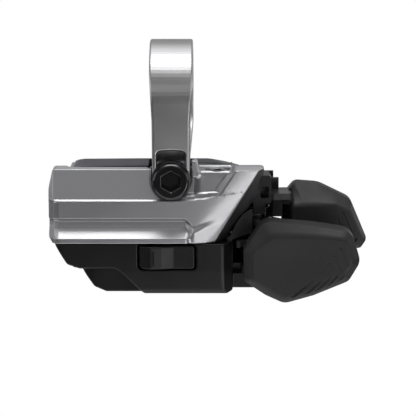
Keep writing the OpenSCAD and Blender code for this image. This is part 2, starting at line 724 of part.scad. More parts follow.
module function_switch() {
    front = switch_board_y - board_t - switch_t;
    color("black") difference() {
        block([button_press_x - switch_w / 2, front, button_press_z - switch_w / 2],
            [button_press_x + switch_w / 2, switch_board_y - board_t, button_press_z + switch_w / 2]);
        rod_y(button_press_x, button_press_z, front - cut, switch_board_y - board_t - switch_floor,
            plunger_d + 0.2);
    }
}

module function_plunger() {
    color("white") rod_y(button_press_x, button_press_z, button_face_y + button_t + 0.9 + clear,
        switch_board_y - board_t - switch_floor - 0.8, plunger_d);
}

// Rocking button with a raised left end
module function_button() {
    lo = button_mid_z - button_h / 2;
    hi = button_mid_z + button_h / 2;
    color([0.1, 0.1, 0.1]) difference() {
        union() {
            intersection() {
                front_solid(-far, far, [[button_left, lo, 1.1], [button_left, hi, 0.4],
                    [button_right, hi, 0.6], [button_right, lo, 0.8]]);
                plan_solid(lo, hi, [[button_left, button_face_y + button_t],
                    [button_left, button_face_y + 0.2, 0.4], [button_left + 2.6, button_face_y - 0.9, 1.6],
                    [button_left + 5.4, button_face_y - 0.6, 2.4], [button_left + 8, button_face_y, 3],
                    [button_right, button_face_y, 0.3], [button_right, button_face_y + button_t]]);
            }
            // rib that meets the plunger, and the eye on the pin
            block([button_press_x - 1.2, button_face_y + button_t - 0.2, button_press_z - 1],
                [button_press_x + 1.2, button_face_y + button_t + 0.9, button_press_z + 1]);
            block([button_pin_x - 0.8, button_face_y + button_t - 0.2, button_mid_z - 0.6],
                [button_pin_x + 0.8, button_pin_y, button_mid_z + 0.6]);
            rod_z(button_pin_x, button_pin_y, button_mid_z - 0.6, button_mid_z + 0.6, 2);
        }
        rod_z(button_pin_x, button_pin_y, lo, hi, button_pin_d + 2 * run_gap);
        // narrow upright groove beside the raised end
        block([button_left + 3.1, -far, lo + 1], [button_left + 3.3, button_face_y - 0.5, hi - 1]);
    }
}

module button_pin() {
    color("silver") rod_z(button_pin_x, button_pin_y, button_mid_z - 2.2, button_mid_z + 2.2,
        button_pin_d);
}

// Axle of both levers
module pivot_axle() {
    color("silver") difference() {
        rod_z(axle_x, axle_y, bracket_low_z - bracket_t, axle_top_z + 0.9, axle_d);
        translate([0, 0, bracket_low_z - bracket_t + 0.8]) ring_z(axle_d - 0.8, axle_d + cut, 0.6);
    }
}

module ring_z(d0, d1, h) {
    translate([axle_x, axle_y, 0]) difference() {
        cylinder(d = d1, h = h);
        translate([0, 0, -cut]) cylinder(d = d0, h = h + 2 * cut);
    }
}

module axle_clip() {
    color("gray") translate([0, 0, bracket_low_z - bracket_t - 0.6]) difference() {
        ring_z(axle_d - 0.8, axle_d + 2.4, 0.6);
        block([axle_x, axle_y - 1.4, -cut], [axle_x + far, axle_y + 1.4, 2]);
    }
}

module axle_washers() {
    color("gray") {
        translate([0, 0, upper_hub_z + 0.05]) ring_z(axle_d, 2 * neck_r, 0.35);
        translate([0, 0, lower_hub_z + 0.1]) ring_z(axle_d, 2 * neck_r, 0.4);
        translate([0, 0, bracket_low_z]) ring_z(axle_d, 2 * neck_r, 0.35);
    }
}

module bush(z, h) {
    color("tan") translate([0, 0, z - h])
        ring_z(axle_d + 2 * run_gap, axle_d + 2 * run_gap + 2 * bush_t, h);
}

module upper_bush() { bush(upper_hub_z, upper_hub_h); }
module lower_bush() { bush(lower_hub_z, lower_hub_h); }

bush_od = axle_d + 2 * run_gap + 2 * bush_t;

module lower_arm() {
    top = lower_arm_z;
    color([0.2, 0.2, 0.2]) difference() {
        union() {
            rod_z(axle_x, axle_y, top - arm_t, lower_hub_z, 2 * neck_r);
            rod_z(axle_x, axle_y, lower_hub_z - lower_hub_h, top - arm_t, 2 * neck_r);
            plan_solid(top - arm_t, top, arm_plan());
            plan_solid(lower_leaf_z - leaf_t, lower_leaf_z, [[axle_x - 2.8, axle_y],
                [axle_x - 1.4, axle_y - 3.6, 1], [axle_x + 1.4, lower_back_y],
                [axle_x + 8.5, lower_back_y, 1],
                [axle_x + 8, axle_y - 5.4, 1], [axle_x + 3.8, axle_y, 1], [axle_x, axle_y + 3, 1]]);
            // flange behind the paddle's core
            front_solid(lower_back_y, lower_back_y + arm_t, at_axle([[-0.4, -25, 1], [-0.4, -16.6],
                [12, -16.6, 1], [12, -23.6, 1], [8, -25, 1]]));
        }
        rod_z(axle_x, axle_y, -far, far, bush_od);
        rod_z(pad_screw_x, pad_screw_y, lower_leaf_z - 2, lower_leaf_z + cut, 2.2);
    }
}

leaf_t = 1.2;
lower_back_y = lower_pad_t - lower_pad_out;     // back of the lower paddle
pad_screw_x = axle_x + 4;
pad_screw_y = axle_y - 7;

function arm_plan() = [[axle_x - 3.4, axle_y], [axle_x - 3.8, axle_y - 5, 1],
    [axle_x - 3.8, lower_back_y - 1.8, 0.5], [axle_x - 2.7, lower_back_y - 1.8, 0.4],
    [axle_x - 2.7, lower_back_y], [axle_x + 11, lower_back_y, 0.5], [axle_x + 11, lower_back_y + 2.4, 1],
    [axle_x + 4.5, axle_y - 1.5, 2], [axle_x + 2.6, axle_y + 2.2, 1], [tongue_x + 3, axle_y + 1],
    [tongue_x - 1.6, axle_y + 0.6, 0.4], [tongue_x - 1.6, tongue_front_y, 0.3],
    [tongue_x + 1.6, tongue_front_y, 0.3], [tongue_x + 3, axle_y - 1]];

module lower_paddle_core() {
    color([0.22, 0.22, 0.22]) difference() {
        union() {
            front_solid(lower_back_y - core_t, lower_back_y, lower_core());
            // tab under the arm's upper leaf
            plan_solid(lower_leaf_z - leaf_t - tab_t, lower_leaf_z - leaf_t, [
                [axle_x + 1.6, lower_back_y - 1], [axle_x + 7.6, lower_back_y - 1],
                [axle_x + 7, axle_y - 5.2, 1.5], [axle_x + 2, axle_y - 5.2, 1.5]]);
        }
        rod_z(pad_screw_x, pad_screw_y, -far, far, 1.6);
    }
}

tab_t = 1.4;

function lower_core() = at_axle([[0, -25.8, 1], [0, -15.8, 1], [18.5, -16, 2], [21, -21.4, 2],
    [17, -26.4, 2], [7.5, -28.4, 2]]);

// Outline of the lower paddle seen from the rider
function lower_pad(g) = at_axle([
    [-2 + g, -19 + g / 3, 3], [-1.9 + g, -26.6 + g, 2], [7.2, -31.9 + g, 3.5],
    [22.6 - g, -26.4 + g, 3], [25.1 - g, -21.6, 3.5], [22.8 - g, -13.8 - g, 4],
    [12, -13.1 - g, 8], [1.3 + g, -12.4 - g, 2.6]]);

// Solid between a paddle's face and its back, bevelled round the face
module pad_solid(face_y, back_y, face, side, back) {
    hull() {
        front_solid(face_y, face_y + 0.1, face, 6);
        front_solid(face_y + bevel_w * 0.9, back_y - 1.5, side, 6);
        front_solid(back_y - 0.1, back_y, back, 6);
    }
}

// Slot between two points of the face, as deep as slot_depth
module slot(face_y, a, b, w) {
    d = b - a;
    translate([a.x, face_y + slot_depth, a.y]) rotate([90, 0, 0]) rotate([0, 0, atan2(d.y, d.x)])
        translate([0, -w / 2, 0]) cube([norm(d), w, slot_depth + cut]);
}

// Chevron pattern: thin lines run out to the tip, broad slots run down from them
lower_slots = [for (s = [[[22.5, -24.2], [21.2, -25.6]], [[21, -24.4], [19, -26.5]],
    [[19.2, -24.7], [16.9, -27.3]], [[17.3, -25.4], [14.8, -28]],
    [[15.3, -26], [12.3, -28.8]], [[13.4, -26], [9.2, -29.7]]]) at_axle(s)];
line_start = [axle_x + 20.1, deck_z - 18.1];
line_step = [-1.43, -1.8];
line_run = [2.2, -4.8];
line_w = 0.25;

module lower_paddle() {
    face_y = -lower_pad_out;
    back_y = lower_back_y;
    color([0.12, 0.12, 0.12]) difference() {
        pad_solid(face_y, back_y, lower_pad(bevel_w), lower_pad(0), lower_pad(1.2));
        front_solid(back_y - core_t, back_y + cut, lower_core());
        for (s = lower_slots) slot(face_y, [s[0].x, s[0].y], [s[1].x, s[1].y], slot_w);
        for (i = [0:3])
            slot(face_y, line_start + i * line_step, line_start + i * line_step + line_run, line_w);
        // relief over the core's tab
        block([axle_x + 1.4, back_y - core_t - 0.2, lower_leaf_z - leaf_t - tab_t - 0.1],
            [axle_x + 7.8, back_y + cut, lower_leaf_z + 0.1]);
    }
}

module lower_paddle_screw() {
    color("silver") difference() {
        union() {
            intersection() {
                translate([pad_screw_x, pad_screw_y, lower_leaf_z - 0.4]) sphere(r = 1.6);
                rod_z(pad_screw_x, pad_screw_y, lower_leaf_z, lower_leaf_z + 2, 4);
            }
            rod_z(pad_screw_x, pad_screw_y, lower_leaf_z - 2.6, lower_leaf_z, 1.6);
        }
        translate([pad_screw_x, pad_screw_y, lower_leaf_z + 0.5]) cylinder(d = 1.2, h = 2, $fn = 6);
    }
}

// Coil of round wire about the axle with its two legs, as one swept tube
function spring_path(z, r) = let (n = 16 * spring_turns, pitch = wire_d + 0.12)
    concat([[axle_x + r + 0.4, axle_y - 3.6, z]],
        [for (i = [0:n]) let (a = i * 360 * spring_turns / n)
            [axle_x + r * cos(a), axle_y + r * sin(a), z - pitch * i * spring_turns / n]],
        [[axle_x + r - 0.3, axle_y + 3.4, z - pitch * spring_turns]]);

module wire(path) {
    k = 8;
    n = len(path);
    points = [for (i = [0:n - 1])
        let (t = unit(path[min(i + 1, n - 1)] - path[max(i - 1, 0)]),
             side = unit(cross(t, [0, 0, 1])), up = cross(side, t))
        for (j = [0:k - 1]) path[i] + wire_d / 2 * (cos(j * 360 / k) * side + sin(j * 360 / k) * up)];
    faces = concat([[for (j = [0:k - 1]) j]],
        [for (i = [0:n - 2]) for (j = [0:k - 1])
            [i * k + (j + 1) % k, i * k + j, (i + 1) * k + j, (i + 1) * k + (j + 1) % k]],
        [[for (j = [0:k - 1]) n * k - 1 - j]]);
    polyhedron(points, faces);
}

spring_r = neck_r + wire_d / 2 + 0.15;

module upper_spring() {
    color("silver") wire(spring_path(upper_arm_z - arm_t - wire_d, spring_r));
}

module lower_spring() {
    color("silver") wire(spring_path(lower_arm_z - arm_t - wire_d, spring_r));
}

module upper_arm() {
    top = upper_arm_z;
    color([0.2, 0.2, 0.2]) difference() {
        union() {
            rod_z(axle_x, axle_y, upper_hub_z - upper_hub_h, upper_hub_z, 2 * neck_r);
            plan_solid(top - arm_t, top, [[axle_x - 3, axle_y + 1.6], [tongue_x - 1.6, axle_y + 0.6, 0.4],
                [tongue_x - 1.6, tongue_front_y, 0.3], [tongue_x + 1.6, tongue_front_y, 0.3],
                [axle_x - 3, axle_y - 1.6], [axle_x, axle_y - 4.8, 2], [axle_x + 5, axle_y - 5.9, 2],
                [arm_end_x, axle_y - 5.2, 1], [arm_end_x, axle_y + 4, 1], [axle_x + 5.4, axle_y + 3.4, 2],
                [axle_x, axle_y + 3.4, 1]]);
            // stop block on the arm, and the flange that stiffens it beside the paddle
            block([axle_x + 4.9, axle_y + 1.6, top - cut], [axle_x + 6.5, axle_y + 3.2, top + 2.6]);
            block([axle_x + 4.9, axle_y - 4.3, top - arm_t - 4.2], [axle_x + 7.2, axle_y - 3.2, top - cut]);
        }
        rod_z(axle_x, axle_y, -far, far, bush_od);
        rod_z(upper_screw_x, upper_screw_y, top - far, top - arm_t + cut, 1.6);
    }
}

arm_end_x = axle_x + 9.4;
upper_screw_x = axle_x + 6.4;
upper_screw_y = axle_y - 1.2;
upper_core_y = axle_y - 0.8;
upper_face_y = axle_y - 4.2;

function upper_core() = at_axle([[9.6, -19.6, 1], [9.6, -9.2, 1], [18, -10, 2], [22.4, -13.6, 2],
    [24.4, -19.6, 1]]);

module upper_paddle_core() {
    color([0.22, 0.22, 0.22]) difference() {
        union() {
            front_solid(upper_core_y, upper_core_y + core_t, upper_core());
            plan_solid(upper_arm_z - arm_t - 1.6, upper_arm_z - arm_t, [
                [axle_x + 4.8, upper_core_y - 2, 0.5], [axle_x + 9.8, upper_core_y - 2],
                [axle_x + 9.8, upper_core_y + core_t], [axle_x + 4.8, upper_core_y + core_t - 1, 0.6]]);
        }
        rod_z(upper_screw_x, upper_screw_y, -far, far, 2);
    }
}

// Outline of the upper paddle seen from the rider
function upper_pad(g) = at_axle([
    [7.6 + g, -9.4, 1.5], [10.4, -6 - g, 2], [16, -5.9 - g, 6], [23.9 - g, -10 - g, 4],
    [28 - g, -20, 2.4], [25.3 - g, -21.9 + g, 2], [11.5, -22.2 + g, 4], [8 + g, -18, 4]]);

module upper_paddle() {
    face_y = upper_face_y;
    back_y = face_y + upper_pad_t;
    color([0.12, 0.12, 0.12]) difference() {
        hull() {
            front_solid(face_y, face_y + 0.1, upper_face(), 6);
            front_solid(face_y + 4.2, face_y + 4.3, upper_pad(0), 6);
            front_solid(back_y - 0.1, back_y, upper_pad(1.6), 6);
        }
        front_solid(upper_core_y, upper_core_y + core_t, upper_core());
        block([axle_x, upper_core_y - 2.1, upper_arm_z - arm_t - 1.7],
            [arm_end_x + 0.4, upper_core_y + core_t, upper_arm_z - arm_t + 0.05]);
        block([axle_x, upper_face_y - cut, upper_arm_z - arm_t - 0.05],
            [arm_end_x + 0.2, axle_y + 4.1, upper_arm_z + 0.1]);
        slot(face_y, upper_line + [3, -6.5], upper_line + [2.2, -7.5], slot_w);
        for (i = [0:2]) slot(face_y, upper_line + i * [-1.25, -1.7],
            upper_line + i * [-1.25, -1.7] + line_run, line_w);
    }
}

upper_line = [axle_x + 21.6, deck_z - 12.5];

function upper_face() = at_axle([[9.2, -10.8, 1], [19.8, -10.2, 3], [23.4, -12.2, 3],
    [26.4, -19.4, 2], [24.4, -21, 1.5], [11.5, -21.2, 3], [9.4, -18, 2]]);

module upper_paddle_screw() {
    color("silver") {
        rod_z(upper_screw_x, upper_screw_y, upper_arm_z - arm_t - 2.8, upper_arm_z - arm_t - 1.6, 2.6);
        rod_z(upper_screw_x, upper_screw_y, upper_arm_z - arm_t - 1.6, upper_arm_z - arm_t + 0.9, 1.6);
    }
}

clamp_band();
clamp_bolt();
clamp_washer();
clamp_nut();
top_housing();
antenna_cover();
boss_screw();
lower_housing();
housing_gasket();
housing_screws();
side_cover();
lever_bracket();
battery_cover();
battery_seal();
battery_cover_screw();
coin_cell();
battery_contact_plus();
battery_contact_minus();
main_board();
radio_module();
switch_board();
lower_switch();
upper_switch();
function_switch();
lower_plunger();
upper_plunger();
function_plunger();
function_button();
button_pin();
pivot_axle();
axle_clip();
axle_washers();
lower_arm();
lower_bush();
lower_paddle_core();
lower_paddle();
lower_paddle_screw();
lower_spring();
upper_arm();
upper_bush();
upper_paddle_core();
upper_paddle();
upper_paddle_screw();
upper_spring();
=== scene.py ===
"""Looks of a wireless handlebar shift switch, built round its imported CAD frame."""

import json
import math

import bpy
import numpy as np
from bpy.props import FloatProperty, FloatVectorProperty, IntProperty, PointerProperty
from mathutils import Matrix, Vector


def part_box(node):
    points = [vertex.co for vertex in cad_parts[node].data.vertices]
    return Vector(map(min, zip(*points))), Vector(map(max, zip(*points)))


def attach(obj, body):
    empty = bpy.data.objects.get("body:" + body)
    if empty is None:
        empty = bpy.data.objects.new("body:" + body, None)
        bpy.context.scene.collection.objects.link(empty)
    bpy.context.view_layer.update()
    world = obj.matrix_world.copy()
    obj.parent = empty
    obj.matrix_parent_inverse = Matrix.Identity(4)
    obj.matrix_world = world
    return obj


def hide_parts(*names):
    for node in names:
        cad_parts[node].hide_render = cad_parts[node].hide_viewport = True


bl_info = {
    "name": "Handlebar Shift Switch",
    "version": (1, 0, 0),
    "blender": (4, 5, 0),
    "location": "3D View > Sidebar > Shift Switch",
    "description": "Builds the detailed pieces of a wireless handlebar shift switch round its CAD frame",
    "category": "Object",
}

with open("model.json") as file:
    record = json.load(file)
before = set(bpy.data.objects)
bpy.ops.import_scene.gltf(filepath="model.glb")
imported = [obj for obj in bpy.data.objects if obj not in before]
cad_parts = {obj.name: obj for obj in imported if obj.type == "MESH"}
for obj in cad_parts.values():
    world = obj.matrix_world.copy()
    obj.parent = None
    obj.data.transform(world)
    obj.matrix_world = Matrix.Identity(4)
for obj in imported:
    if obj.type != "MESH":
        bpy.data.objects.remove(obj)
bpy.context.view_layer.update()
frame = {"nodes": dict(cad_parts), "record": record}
MM = 0.001


def cad_box(node):
    """Lowest and highest corner of a CAD node, in millimetres."""
    lo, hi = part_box(node)
    return np.array(lo) / MM, np.array(hi) / MM


BAND_LO, BAND_HI = cad_box("clamp_band")
TOP_LO, TOP_HI = cad_box("top_housing")
BOLT_LO, BOLT_HI = cad_box("clamp_bolt")
BASE_LO, BASE_HI = cad_box("lower_housing")
LID_LO, LID_HI = cad_box("battery_cover")
KEY_LO, KEY_HI = cad_box("function_button")
COVER_LO, COVER_HI = cad_box("antenna_cover")
PAD_LO, PAD_HI = cad_box("lower_paddle")
UP_LO, UP_HI = cad_box("upper_paddle")

BOLT_Z = (BOLT_LO[2] + BOLT_HI[2]) / 2
BOLT_HOLE = 2.7
SEAT_Y = cad_box("clamp_washer")[0][1]
LUG_Y0 = SEAT_Y + 3.0
LUG_Y1 = LUG_Y0 + 5.0
LUG_HALF = 4.1
EAR_Y1 = cad_box("clamp_nut")[0][1]
BORE = 11.1
DECK_Z = -15.0
PART_Z = TOP_LO[2]
FRONT_Y = -11.4
BASE_Y = -11.1
COVER_Y = FRONT_Y + 3.9
BOSS = [(lo + hi) / 2 for lo, hi in zip(*cad_box("boss_screw"))][:2]
AXLE = (19.0, 3.0)
CELL = (-9.4, 0.9)
LID_SCREW = (-17.2, 8.2)
WALL = 1.6
# Room for the clamp behind its bolt: half its width, and its rear end
ROOM_HALF, ROOM_BACK = 5.35, 4.0

# Properties


class SHIFTER_PG_sizes(bpy.types.PropertyGroup):
    """Sizes that a user may change, in metres"""

    edge_round: FloatProperty(
        name="Edge round", description="Radius of the outer edges of the silver housing",
        default=0.3 * MM, min=0.1 * MM, max=1 * MM, unit="LENGTH")
    groove_depth: FloatProperty(
        name="Groove depth", description="Unit of the groove's depth; its floor lies up to 1.75 times as deep",
        default=1.1 * MM, min=0, max=2 * MM, unit="LENGTH")
    facet_turn: FloatProperty(
        name="Facet turn", description="How far the large right facet turns towards the grip",
        default=math.radians(13), min=0, max=math.radians(30), subtype="ANGLE")
    slot_depth: FloatProperty(
        name="Slot depth", description="Depth of the slots moulded in the paddles",
        default=0.4 * MM, min=0, max=1 * MM, unit="LENGTH")
    wire: FloatProperty(
        name="Spring wire", description="Diameter of the return springs' wire",
        default=0.7 * MM, min=0.2 * MM, max=1 * MM, unit="LENGTH")
    spring_turns: IntProperty(
        name="Spring turns", description="Turns in each return spring", default=2, min=1, max=3)
    mesh_step: FloatProperty(
        name="Mesh step", description="Spacing of the mesh points on the silver housing",
        default=0.25 * MM, min=0.1 * MM, max=1 * MM, unit="LENGTH")


class SHIFTER_PG_colours(bpy.types.PropertyGroup):
    """Colours that a user may change"""

    silver: FloatVectorProperty(
        name="Silver", description="Satin anodised alloy of the upper housing",
        default=(0.60, 0.60, 0.62), subtype="COLOR", min=0, max=1)
    band: FloatVectorProperty(
        name="Band", description="Polished alloy of the clamp band",
        default=(0.66, 0.66, 0.67), subtype="COLOR", min=0, max=1)
    # Dark nylon whose blue-grey colour holds a painted sheen of the overhead light
    cover: FloatVectorProperty(
        name="Cover", description="Blue-grey nylon of the rear cover",
        default=(0.062, 0.062, 0.082), subtype="COLOR", min=0, max=1)
    housing: FloatVectorProperty(
        name="Housing", description="Black nylon of the lower housing",
        default=(0.006, 0.006, 0.0063), subtype="COLOR", min=0, max=1)
    rubber: FloatVectorProperty(
        name="Rubber", description="Rubber of the paddles",
        default=(0.017, 0.017, 0.0175), subtype="COLOR", min=0, max=1)
    oxide: FloatVectorProperty(
        name="Black oxide", description="Black steel of the clamp bolt",
        default=(0.08, 0.08, 0.083), subtype="COLOR", min=0, max=1)


# Distance fields, in millimetres


def rounded(points, n=5):
    """Corner points of an outline, each (a, b) or (a, b, radius), with the radii as arcs."""
    out = []
    for i, q in enumerate(points):
        if len(q) == 2:
            out.append(tuple(q))
            continue
        p = np.array(q[:2], float)
        u = np.array(points[i - 1][:2], float) - p
        w = np.array(points[(i + 1) % len(points)][:2], float) - p
        u, w = u / np.linalg.norm(u), w / np.linalg.norm(w)
        half = math.acos(max(-1, min(1, float(u @ w)))) / 2
        c = p + (u + w) / np.linalg.norm(u + w) * q[2] / math.sin(half)
        s, e = p + u * q[2] / math.tan(half), p + w * q[2] / math.tan(half)
        a0 = math.atan2(*(s - c)[::-1])
        turn = (math.atan2(*(e - c)[::-1]) - a0 + 3 * math.pi) % (2 * math.pi) - math.pi
        for k in range(n + 1):
            a = a0 + turn * k / n
            out.append((c[0] + q[2] * math.cos(a), c[1] + q[2] * math.sin(a)))
    return out


def outline(points, n=5):
    """Signed distance to a closed outline, as a function of two coordinates."""
    pts = rounded(points, n)

    def f(u, v):
        d = np.full(u.shape, 1e9, np.float32)
        inside = np.zeros(u.shape, bool)
        for (ax, ay), (bx, by) in zip(pts, pts[1:] + pts[:1]):
            ex, ey = bx - ax, by - ay
            size = ex * ex + ey * ey
            if size < 1e-12:
                continue
            wx, wy = u - ax, v - ay
            t = np.clip((wx * ex + wy * ey) / size, 0, 1)
            np.minimum(d, (wx - ex * t) ** 2 + (wy - ey * t) ** 2, out=d)
            if abs(ey) > 1e-9:
                inside ^= ((ay > v) != (by > v)) & (u < ex * (v - ay) / ey + ax)
        return np.where(inside, -1, 1) * np.sqrt(d)

    return f


def meet(r, *fields):
    """Where all the fields are, with convex edges rounded by r."""

    def f(p):
        d = fields[0](p)
        for g in fields[1:]:
            e = g(p)
            if r > 0:
                d = np.minimum(np.maximum(d, e), -r) + np.hypot(np.maximum(d + r, 0), np.maximum(e + r, 0))
            else:
                d = np.maximum(d, e)
        return d

    return f


def join(r, *fields):
    """Where any of the fields is, with concave corners filled by r."""

    def f(p):
        d = fields[0](p)
        for g in fields[1:]:
            e = g(p)
            if r > 0:
                d = np.maximum(np.minimum(d, e), r) - np.hypot(np.maximum(r - d, 0), np.maximum(r - e, 0))
            else:
                d = np.minimum(d, e)
        return d

    return f


def less(r, body, *cutters):
    """A field with others cut out of it, with the cut's edges rounded by r."""
    return meet(r, body, *[(lambda p, g=g: -g(p)) for g in cutters])


def beyond(point, normal):
    """Distance past a plane, on the side to which its normal points; the kept side is behind it."""
    n = np.array(normal, float)
    n /= np.linalg.norm(n)
    k = float(n @ np.array(point, float))
    return lambda p: n[0] * p[0] + n[1] * p[1] + n[2] * p[2] - k


def ramp(v, lo, hi):
    """0 below lo, 1 above hi, with a smooth rise in between."""
    t = np.clip((v - lo) / (hi - lo), 0, 1)
    return t * t * (3 - 2 * t)


def slab(axis, lo, hi):
    """Space between two planes across an axis."""
    mid, half = (lo + hi) / 2, (hi - lo) / 2
    return lambda p: np.abs(p[axis] - mid) - half


def block(lo, hi, r=0.0):
    """Box between two corners, its edges rounded by r."""
    mid = (np.array(lo, float) + np.array(hi, float)) / 2
    half = (np.array(hi, float) - np.array(lo, float)) / 2 - r

    def f(p):
        q = [np.abs(p[i] - mid[i]) - half[i] for i in range(3)]
        out = np.sqrt(sum(np.maximum(c, 0) ** 2 for c in q))
        return out + np.minimum(np.maximum(np.maximum(q[0], q[1]), q[2]), 0) - r

    return f


def along(axis, shape, lo, hi, r=0.0, n=5):
    """An outline in the two other axes made solid from lo to hi along an axis."""
    a, b = [(1, 2), (0, 2), (0, 1)][axis]
    flat = outline(shape, n) if isinstance(shape, (list, tuple)) else shape
    return meet(r, lambda p: flat(p[a], p[b]), slab(axis, lo, hi))


def rod(axis, c, radius, lo, hi, r=0.0):
    """Cylinder along an axis about c, the two other coordinates."""
    a, b = [(1, 2), (0, 2), (0, 1)][axis]
    return meet(r, lambda p: np.hypot(p[a] - c[0], p[b] - c[1]) - radius, slab(axis, lo, hi))


def capsule(a, b, r):
    """Round-ended groove cutter between two points."""
    a, b = np.array(a, float), np.array(b, float)
    e = b - a
    size = float(e @ e)

    def f(p):
        w = [p[i] - a[i] for i in range(3)]
        t = np.clip((w[0] * e[0] + w[1] * e[1] + w[2] * e[2]) / size, 0, 1)
        return np.sqrt(sum((w[i] - e[i] * t) ** 2 for i in range(3))) - r

    return f


def sweep_between(face, side, y0, y1, axis=1):
    """Outline that changes evenly from face at y0 to side at y1, for bevels between two outlines."""
    inner, outer = outline(face, 8), outline(side, 8)

    def f(p):
        t = np.clip((p[axis] - y0) / (y1 - y0), 0, 1)
        return (1 - t) * inner(p[0], p[2]) + t * outer(p[0], p[2])

    return f


CORNERS = [np.array(c) for c in np.ndindex(2, 2, 2)]
EDGES = [(a, b) for a in range(8) for b in range(a + 1, 8) if abs(CORNERS[a] - CORNERS[b]).sum() == 1]


def gradient(field, v, eps):
    """Slope of a field at each point, from differences over eps."""
    g = np.empty_like(v)
    for i in range(3):
        hi, lo = v.copy(), v.copy()
        hi[:, i] += eps
        lo[:, i] -= eps
        g[:, i] = (field(tuple(hi.T)) - field(tuple(lo.T))) / (2 * eps)
    return g


def skin(field, lo, hi, step):
    """Quad mesh of a field's surface: vertices, quads and normals."""
    lo, hi = np.array(lo, float) - 3 * step, np.array(hi, float) + 3 * step
    blocks = np.ceil((hi - lo) / (4 * step)).astype(int)
    axes = [lo[i] + step * np.arange(4 * blocks[i] + 1) for i in range(3)]
    mids = np.meshgrid(*[lo[i] + step * (4 * np.arange(blocks[i]) + 2) for i in range(3)], indexing="ij")
    rough = field(tuple(m.ravel() for m in mids)).reshape(blocks)
    near = np.abs(rough) < 4 * step
    value = np.where(rough < 0, -1.0, 1.0)
    for i in range(3):
        value = np.repeat(value, 4, axis=i)
        near = np.repeat(near, 4, axis=i)
    value = np.pad(value, [(0, 1)] * 3, mode="edge")
    wide = np.zeros(value.shape, bool)
    for c in CORNERS:
        wide[c[0]:c[0] + near.shape[0], c[1]:c[1] + near.shape[1], c[2]:c[2] + near.shape[2]] |= near
    at = np.nonzero(wide)
    value[at] = field(tuple(axes[i][at[i]] for i in range(3)))
    value[value == 0] = 1e-6
    inside = value < 0

    def corner(a, c):
        return a[c[0]:a.shape[0] - 1 + c[0], c[1]:a.shape[1] - 1 + c[1], c[2]:a.shape[2] - 1 + c[2]]

    count = sum(corner(inside, c).astype(np.int8) for c in CORNERS)
    cells = np.argwhere((count > 0) & (count < 8))
    index = np.full(count.shape, -1, np.int64)
    index[tuple(cells.T)] = np.arange(len(cells))
    at8 = [value[tuple((cells + c).T)] for c in CORNERS]
    place, hits = np.zeros((len(cells), 3)), np.zeros(len(cells))
    for a, b in EDGES:
        va, vb = at8[a], at8[b]
        m = (va < 0) != (vb < 0)
        t = np.where(m, va / np.where(m, va - vb, 1), 0)
        place += m[:, None] * (CORNERS[a] + t[:, None] * (CORNERS[b] - CORNERS[a]))
        hits += m
    v = lo + step * (cells + place / hits[:, None])

    quads = []
    for axis in range(3):
        u, w = (axis + 1) % 3, (axis + 2) % 3
        cut = [slice(None)] * 3
        cut[axis] = slice(0, -1)
        a = inside[tuple(cut)]
        cut[axis] = slice(1, None)
        b = inside[tuple(cut)]
        crossing = np.argwhere(a != b)
        keep = (crossing[:, u] > 0) & (crossing[:, w] > 0)
        keep &= (crossing[:, u] < count.shape[u]) & (crossing[:, w] < count.shape[w])
        crossing = crossing[keep]
        ring = []
        for du, dw in ((-1, -1), (0, -1), (0, 0), (-1, 0)):
            cell = crossing.copy()
            cell[:, u] += du
            cell[:, w] += dw
            ring.append(index[tuple(cell.T)])
        ring = np.stack(ring, 1)
        outward = a[tuple(crossing.T)]
        ring[~outward] = ring[~outward][:, ::-1]
        quads.append(ring)
    quads = np.concatenate(quads)

    for _ in range(2):  # even out the spacing along the surface
        total, number = np.zeros_like(v), np.zeros(len(v))
        for i in range(4):
            np.add.at(total, quads[:, i], v[quads[:, i - 1]])
            np.add.at(number, quads[:, i], 1)
        g = gradient(field, v, 0.03)
        g /= np.linalg.norm(g, axis=1, keepdims=True) + 1e-9
        move = total / number[:, None] - v
        v += 0.6 * (move - g * (move * g).sum(1, keepdims=True))
    for _ in range(3):
        g = gradient(field, v, 0.02)
        size = (g * g).sum(1, keepdims=True) + 1e-6
        d = field(tuple(v.T))[:, None]
        v -= np.clip(d * g / size, -step / 2, step / 2)
    g = gradient(field, v, 0.03)
    g /= np.linalg.norm(g, axis=1, keepdims=True) + 1e-9
    return v, quads, g


def piece_from(name, v, faces, normals=None):
    """Blender object from millimetre vertices, its place in its mesh."""
    mesh = bpy.data.meshes.new(name)
    k = faces.shape[1]
    mesh.vertices.add(len(v))
    mesh.vertices.foreach_set("co", (v * MM).astype(np.float32).ravel())
    mesh.loops.add(faces.size)
    mesh.loops.foreach_set("vertex_index", faces.astype(np.int32).ravel())
    mesh.polygons.add(len(faces))
    mesh.polygons.foreach_set("loop_start", np.arange(0, faces.size, k, dtype=np.int32))
    mesh.polygons.foreach_set("use_smooth", np.ones(len(faces), bool))
    mesh.update(calc_edges=True)
    mesh.validate()
    if normals is not None:
        mesh.normals_split_custom_set_from_vertices(normals.tolist())
    obj = bpy.data.objects.new(name, mesh)
    bpy.context.scene.collection.objects.link(obj)
    return obj


def carve(name, field, lo, hi, step):
    """A field's surface as a Blender object."""
    v, quads, normals = skin(field, lo, hi, step * (1))
    print(f"{name}: {2 * len(quads)} triangles")
    return piece_from(name, v, quads, normals)


# Materials


def new_group(name, inputs, outputs):
    """Shader group with its sockets, and its input and output nodes."""
    group = bpy.data.node_groups.new(name, "ShaderNodeTree")
    for label, default in inputs:
        socket = group.interface.new_socket(label, in_out="INPUT", socket_type="NodeSocketFloat")
        socket.default_value = default
    for label, kind in outputs:
        group.interface.new_socket(label, in_out="OUTPUT", socket_type=kind)
    start = group.nodes.new("NodeGroupInput")
    end = group.nodes.new("NodeGroupOutput")
    return group, start, end


